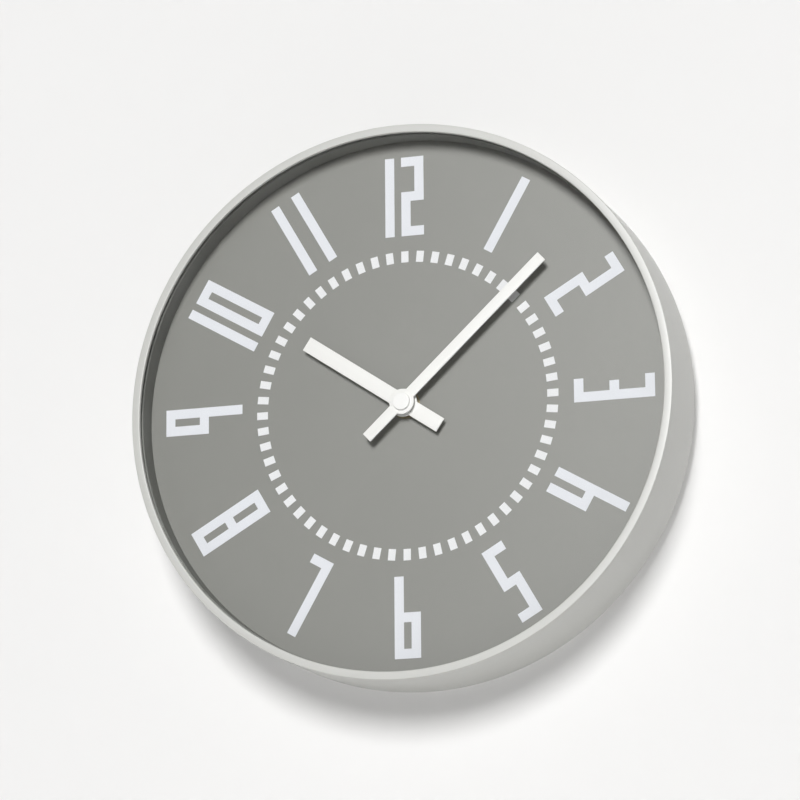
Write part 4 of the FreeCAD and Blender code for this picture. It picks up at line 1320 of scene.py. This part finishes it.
@dataclass
class Studio:
    """A white wall and floor, a far key lamp above the camera, three weak lamps and the camera."""

    aim: Sequence[float] = (0.00046, -0.045, -0.00017)
    distance: float = 1.8192
    azimuth: float = 18.167
    elevation: float = -13.039
    roll: float = -0.428
    focal: float = 182.97
    ambient: float = 0.015
    mirrored: float = 0.45
    white: Colour = (0.84, 0.836, 0.83)
    glow: float = 0.22
    room_half: float = 2.0
    floor: float = -1.2
    wall_gap: float = 0.0004
    lamps: Sequence[Lamp] = (
        Lamp("key_lamp", (0.11, -1.0, 0.285), distance=9.0, width=2.4, height=3.0, power=760.0),
        Lamp("right_fill", (5.0, -1.0, 0.5), distance=3.0, width=1.5, height=1.5, power=3.0),
        Lamp("floor_fill", (0.5, -1.0, -5.0), distance=3.0, width=1.5, height=1.5, power=0.5),
        Lamp("back_lamp", (-0.25, 1.0, 0.4), distance=3.0, width=1.8, height=1.8, power=5.0, spread=30.0),
    )

    def camera(self) -> None:
        """Places the camera below and to the right of the clock."""
        across, up = math.radians(self.azimuth), math.radians(self.elevation)
        back = Vector((math.sin(across) * math.cos(up), -math.cos(across) * math.cos(up), math.sin(up)))
        data = bpy.data.cameras.new("camera")
        data.lens = self.focal
        data.clip_end = 20.0
        camera = bpy.data.objects.new("camera", data)
        camera.location = Vector(self.aim) + back * self.distance
        camera.rotation_mode = "QUATERNION"
        level = (-back).to_track_quat("-Z", "Y")
        camera.rotation_quaternion = level @ Quaternion((0, 0, 1), math.radians(self.roll))
        bpy.context.scene.collection.objects.link(camera)
        bpy.context.scene.camera = camera

    def paint(self) -> bpy.types.Material:
        """White paint that glows a little where it is seen, and is clear from behind and to shadows.

        Returns:
            The material of wall and floor.
        """
        graph = Graph.material("studio_white")
        coat = graph.add("ShaderNodeBsdfPrincipled", {}, {
            "Base Color": self.white,
            "Roughness": 0.9,
            "Specular IOR Level": 0.1,
            "Normal": graph.bump(graph.noise(40.0, 4.0), 0.0002),
        })
        light = graph.add("ShaderNodeEmission", {}, {"Color": self.white})
        path = graph.node("ShaderNodeLightPath", {}, {})
        camera, shadow = (Signal(graph, path.outputs[f"Is {ray} Ray"]) for ray in ("Camera", "Shadow"))
        front = graph.add("ShaderNodeMixShader", {}, {0: camera * self.glow, 1: coat, 2: light})
        clear = graph.add("ShaderNodeBsdfTransparent", {}, {})
        unseen = graph.add("ShaderNodeNewGeometry", {}, {}, "Backfacing").larger(shadow)
        return graph.finish(graph.add("ShaderNodeMixShader", {}, {0: unseen, 1: front, 2: clear}))

    def room(self) -> None:
        """The wall that the clock hangs on and the floor below it."""
        mesh = bmesh.new()
        upright = Matrix.Rotation(math.radians(90), 4, "X")
        level = Matrix.Translation((0, -self.room_half, self.floor))
        for place in (upright, level):
            bmesh.ops.create_grid(mesh, x_segments=1, y_segments=1, size=self.room_half, matrix=place)
        data = bpy.data.meshes.new("room")
        mesh.to_mesh(data)
        mesh.free()
        data.materials.append(self.paint())
        room = bpy.data.objects.new("room", data)
        room.location = (0, self.wall_gap, 0)
        bpy.context.scene.collection.objects.link(room)

    def world(self) -> None:
        """Dim even light from all round, white where it is seen and grey where it is mirrored."""
        world = bpy.data.worlds.new("studio")
        bpy.context.scene.world = world
        graph = Graph(world)
        light = graph.add("ShaderNodeBackground", {}, {"Strength": self.ambient})
        white = graph.add("ShaderNodeBackground", {}, {"Color": (1.0, 1.0, 1.0)})
        path = graph.node("ShaderNodeLightPath", {}, {})
        camera, glossy = (Signal(graph, path.outputs[f"Is {ray} Ray"]) for ray in ("Camera", "Glossy"))
        graph.finish(graph.add("ShaderNodeMixShader", {}, {
            0: camera.larger(glossy * self.mirrored), 1: light, 2: white}))

    def build(self) -> None:
        """Sets up the whole studio."""
        self.camera()
        self.room()
        self.world()
        for lamp in self.lamps:
            lamp.hang()
        bpy.context.scene.view_settings.view_transform = "Standard"


def main() -> None:
    """Builds the clock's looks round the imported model."""
    logging.basicConfig(level=logging.INFO, format="%(message)s")
    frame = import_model()

    Studio().build()
    for piece, node in CaseFront().build():
        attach(piece, "clock")
        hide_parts(node)
        LOG.info("built %s", piece.name)
    for piece in DialPrint().build():
        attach(piece, "clock")
        LOG.info("built %s", piece.name)
    for hand in HANDS:
        piece = hand.build()
        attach(piece, hand.body)
        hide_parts(hand.node)
        LOG.info("built %s", piece.name)
    cap = HubCap().build()
    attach(cap, "minute")
    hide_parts("minute_cap")
    LOG.info("built %s", cap.name)
    for piece, node in ((HexNut().build(), "fixing_nut"), (CrossScrews().build(), "hanger_screws")):
        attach(piece, "clock")
        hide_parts(node)
        LOG.info("built %s", piece.name)
    for piece in PoleSigns().build():
        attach(piece, "clock")
        LOG.info("built %s", piece.name)
    CadDress().dress(frame["nodes"])


if __name__ == "__main__":
    main()
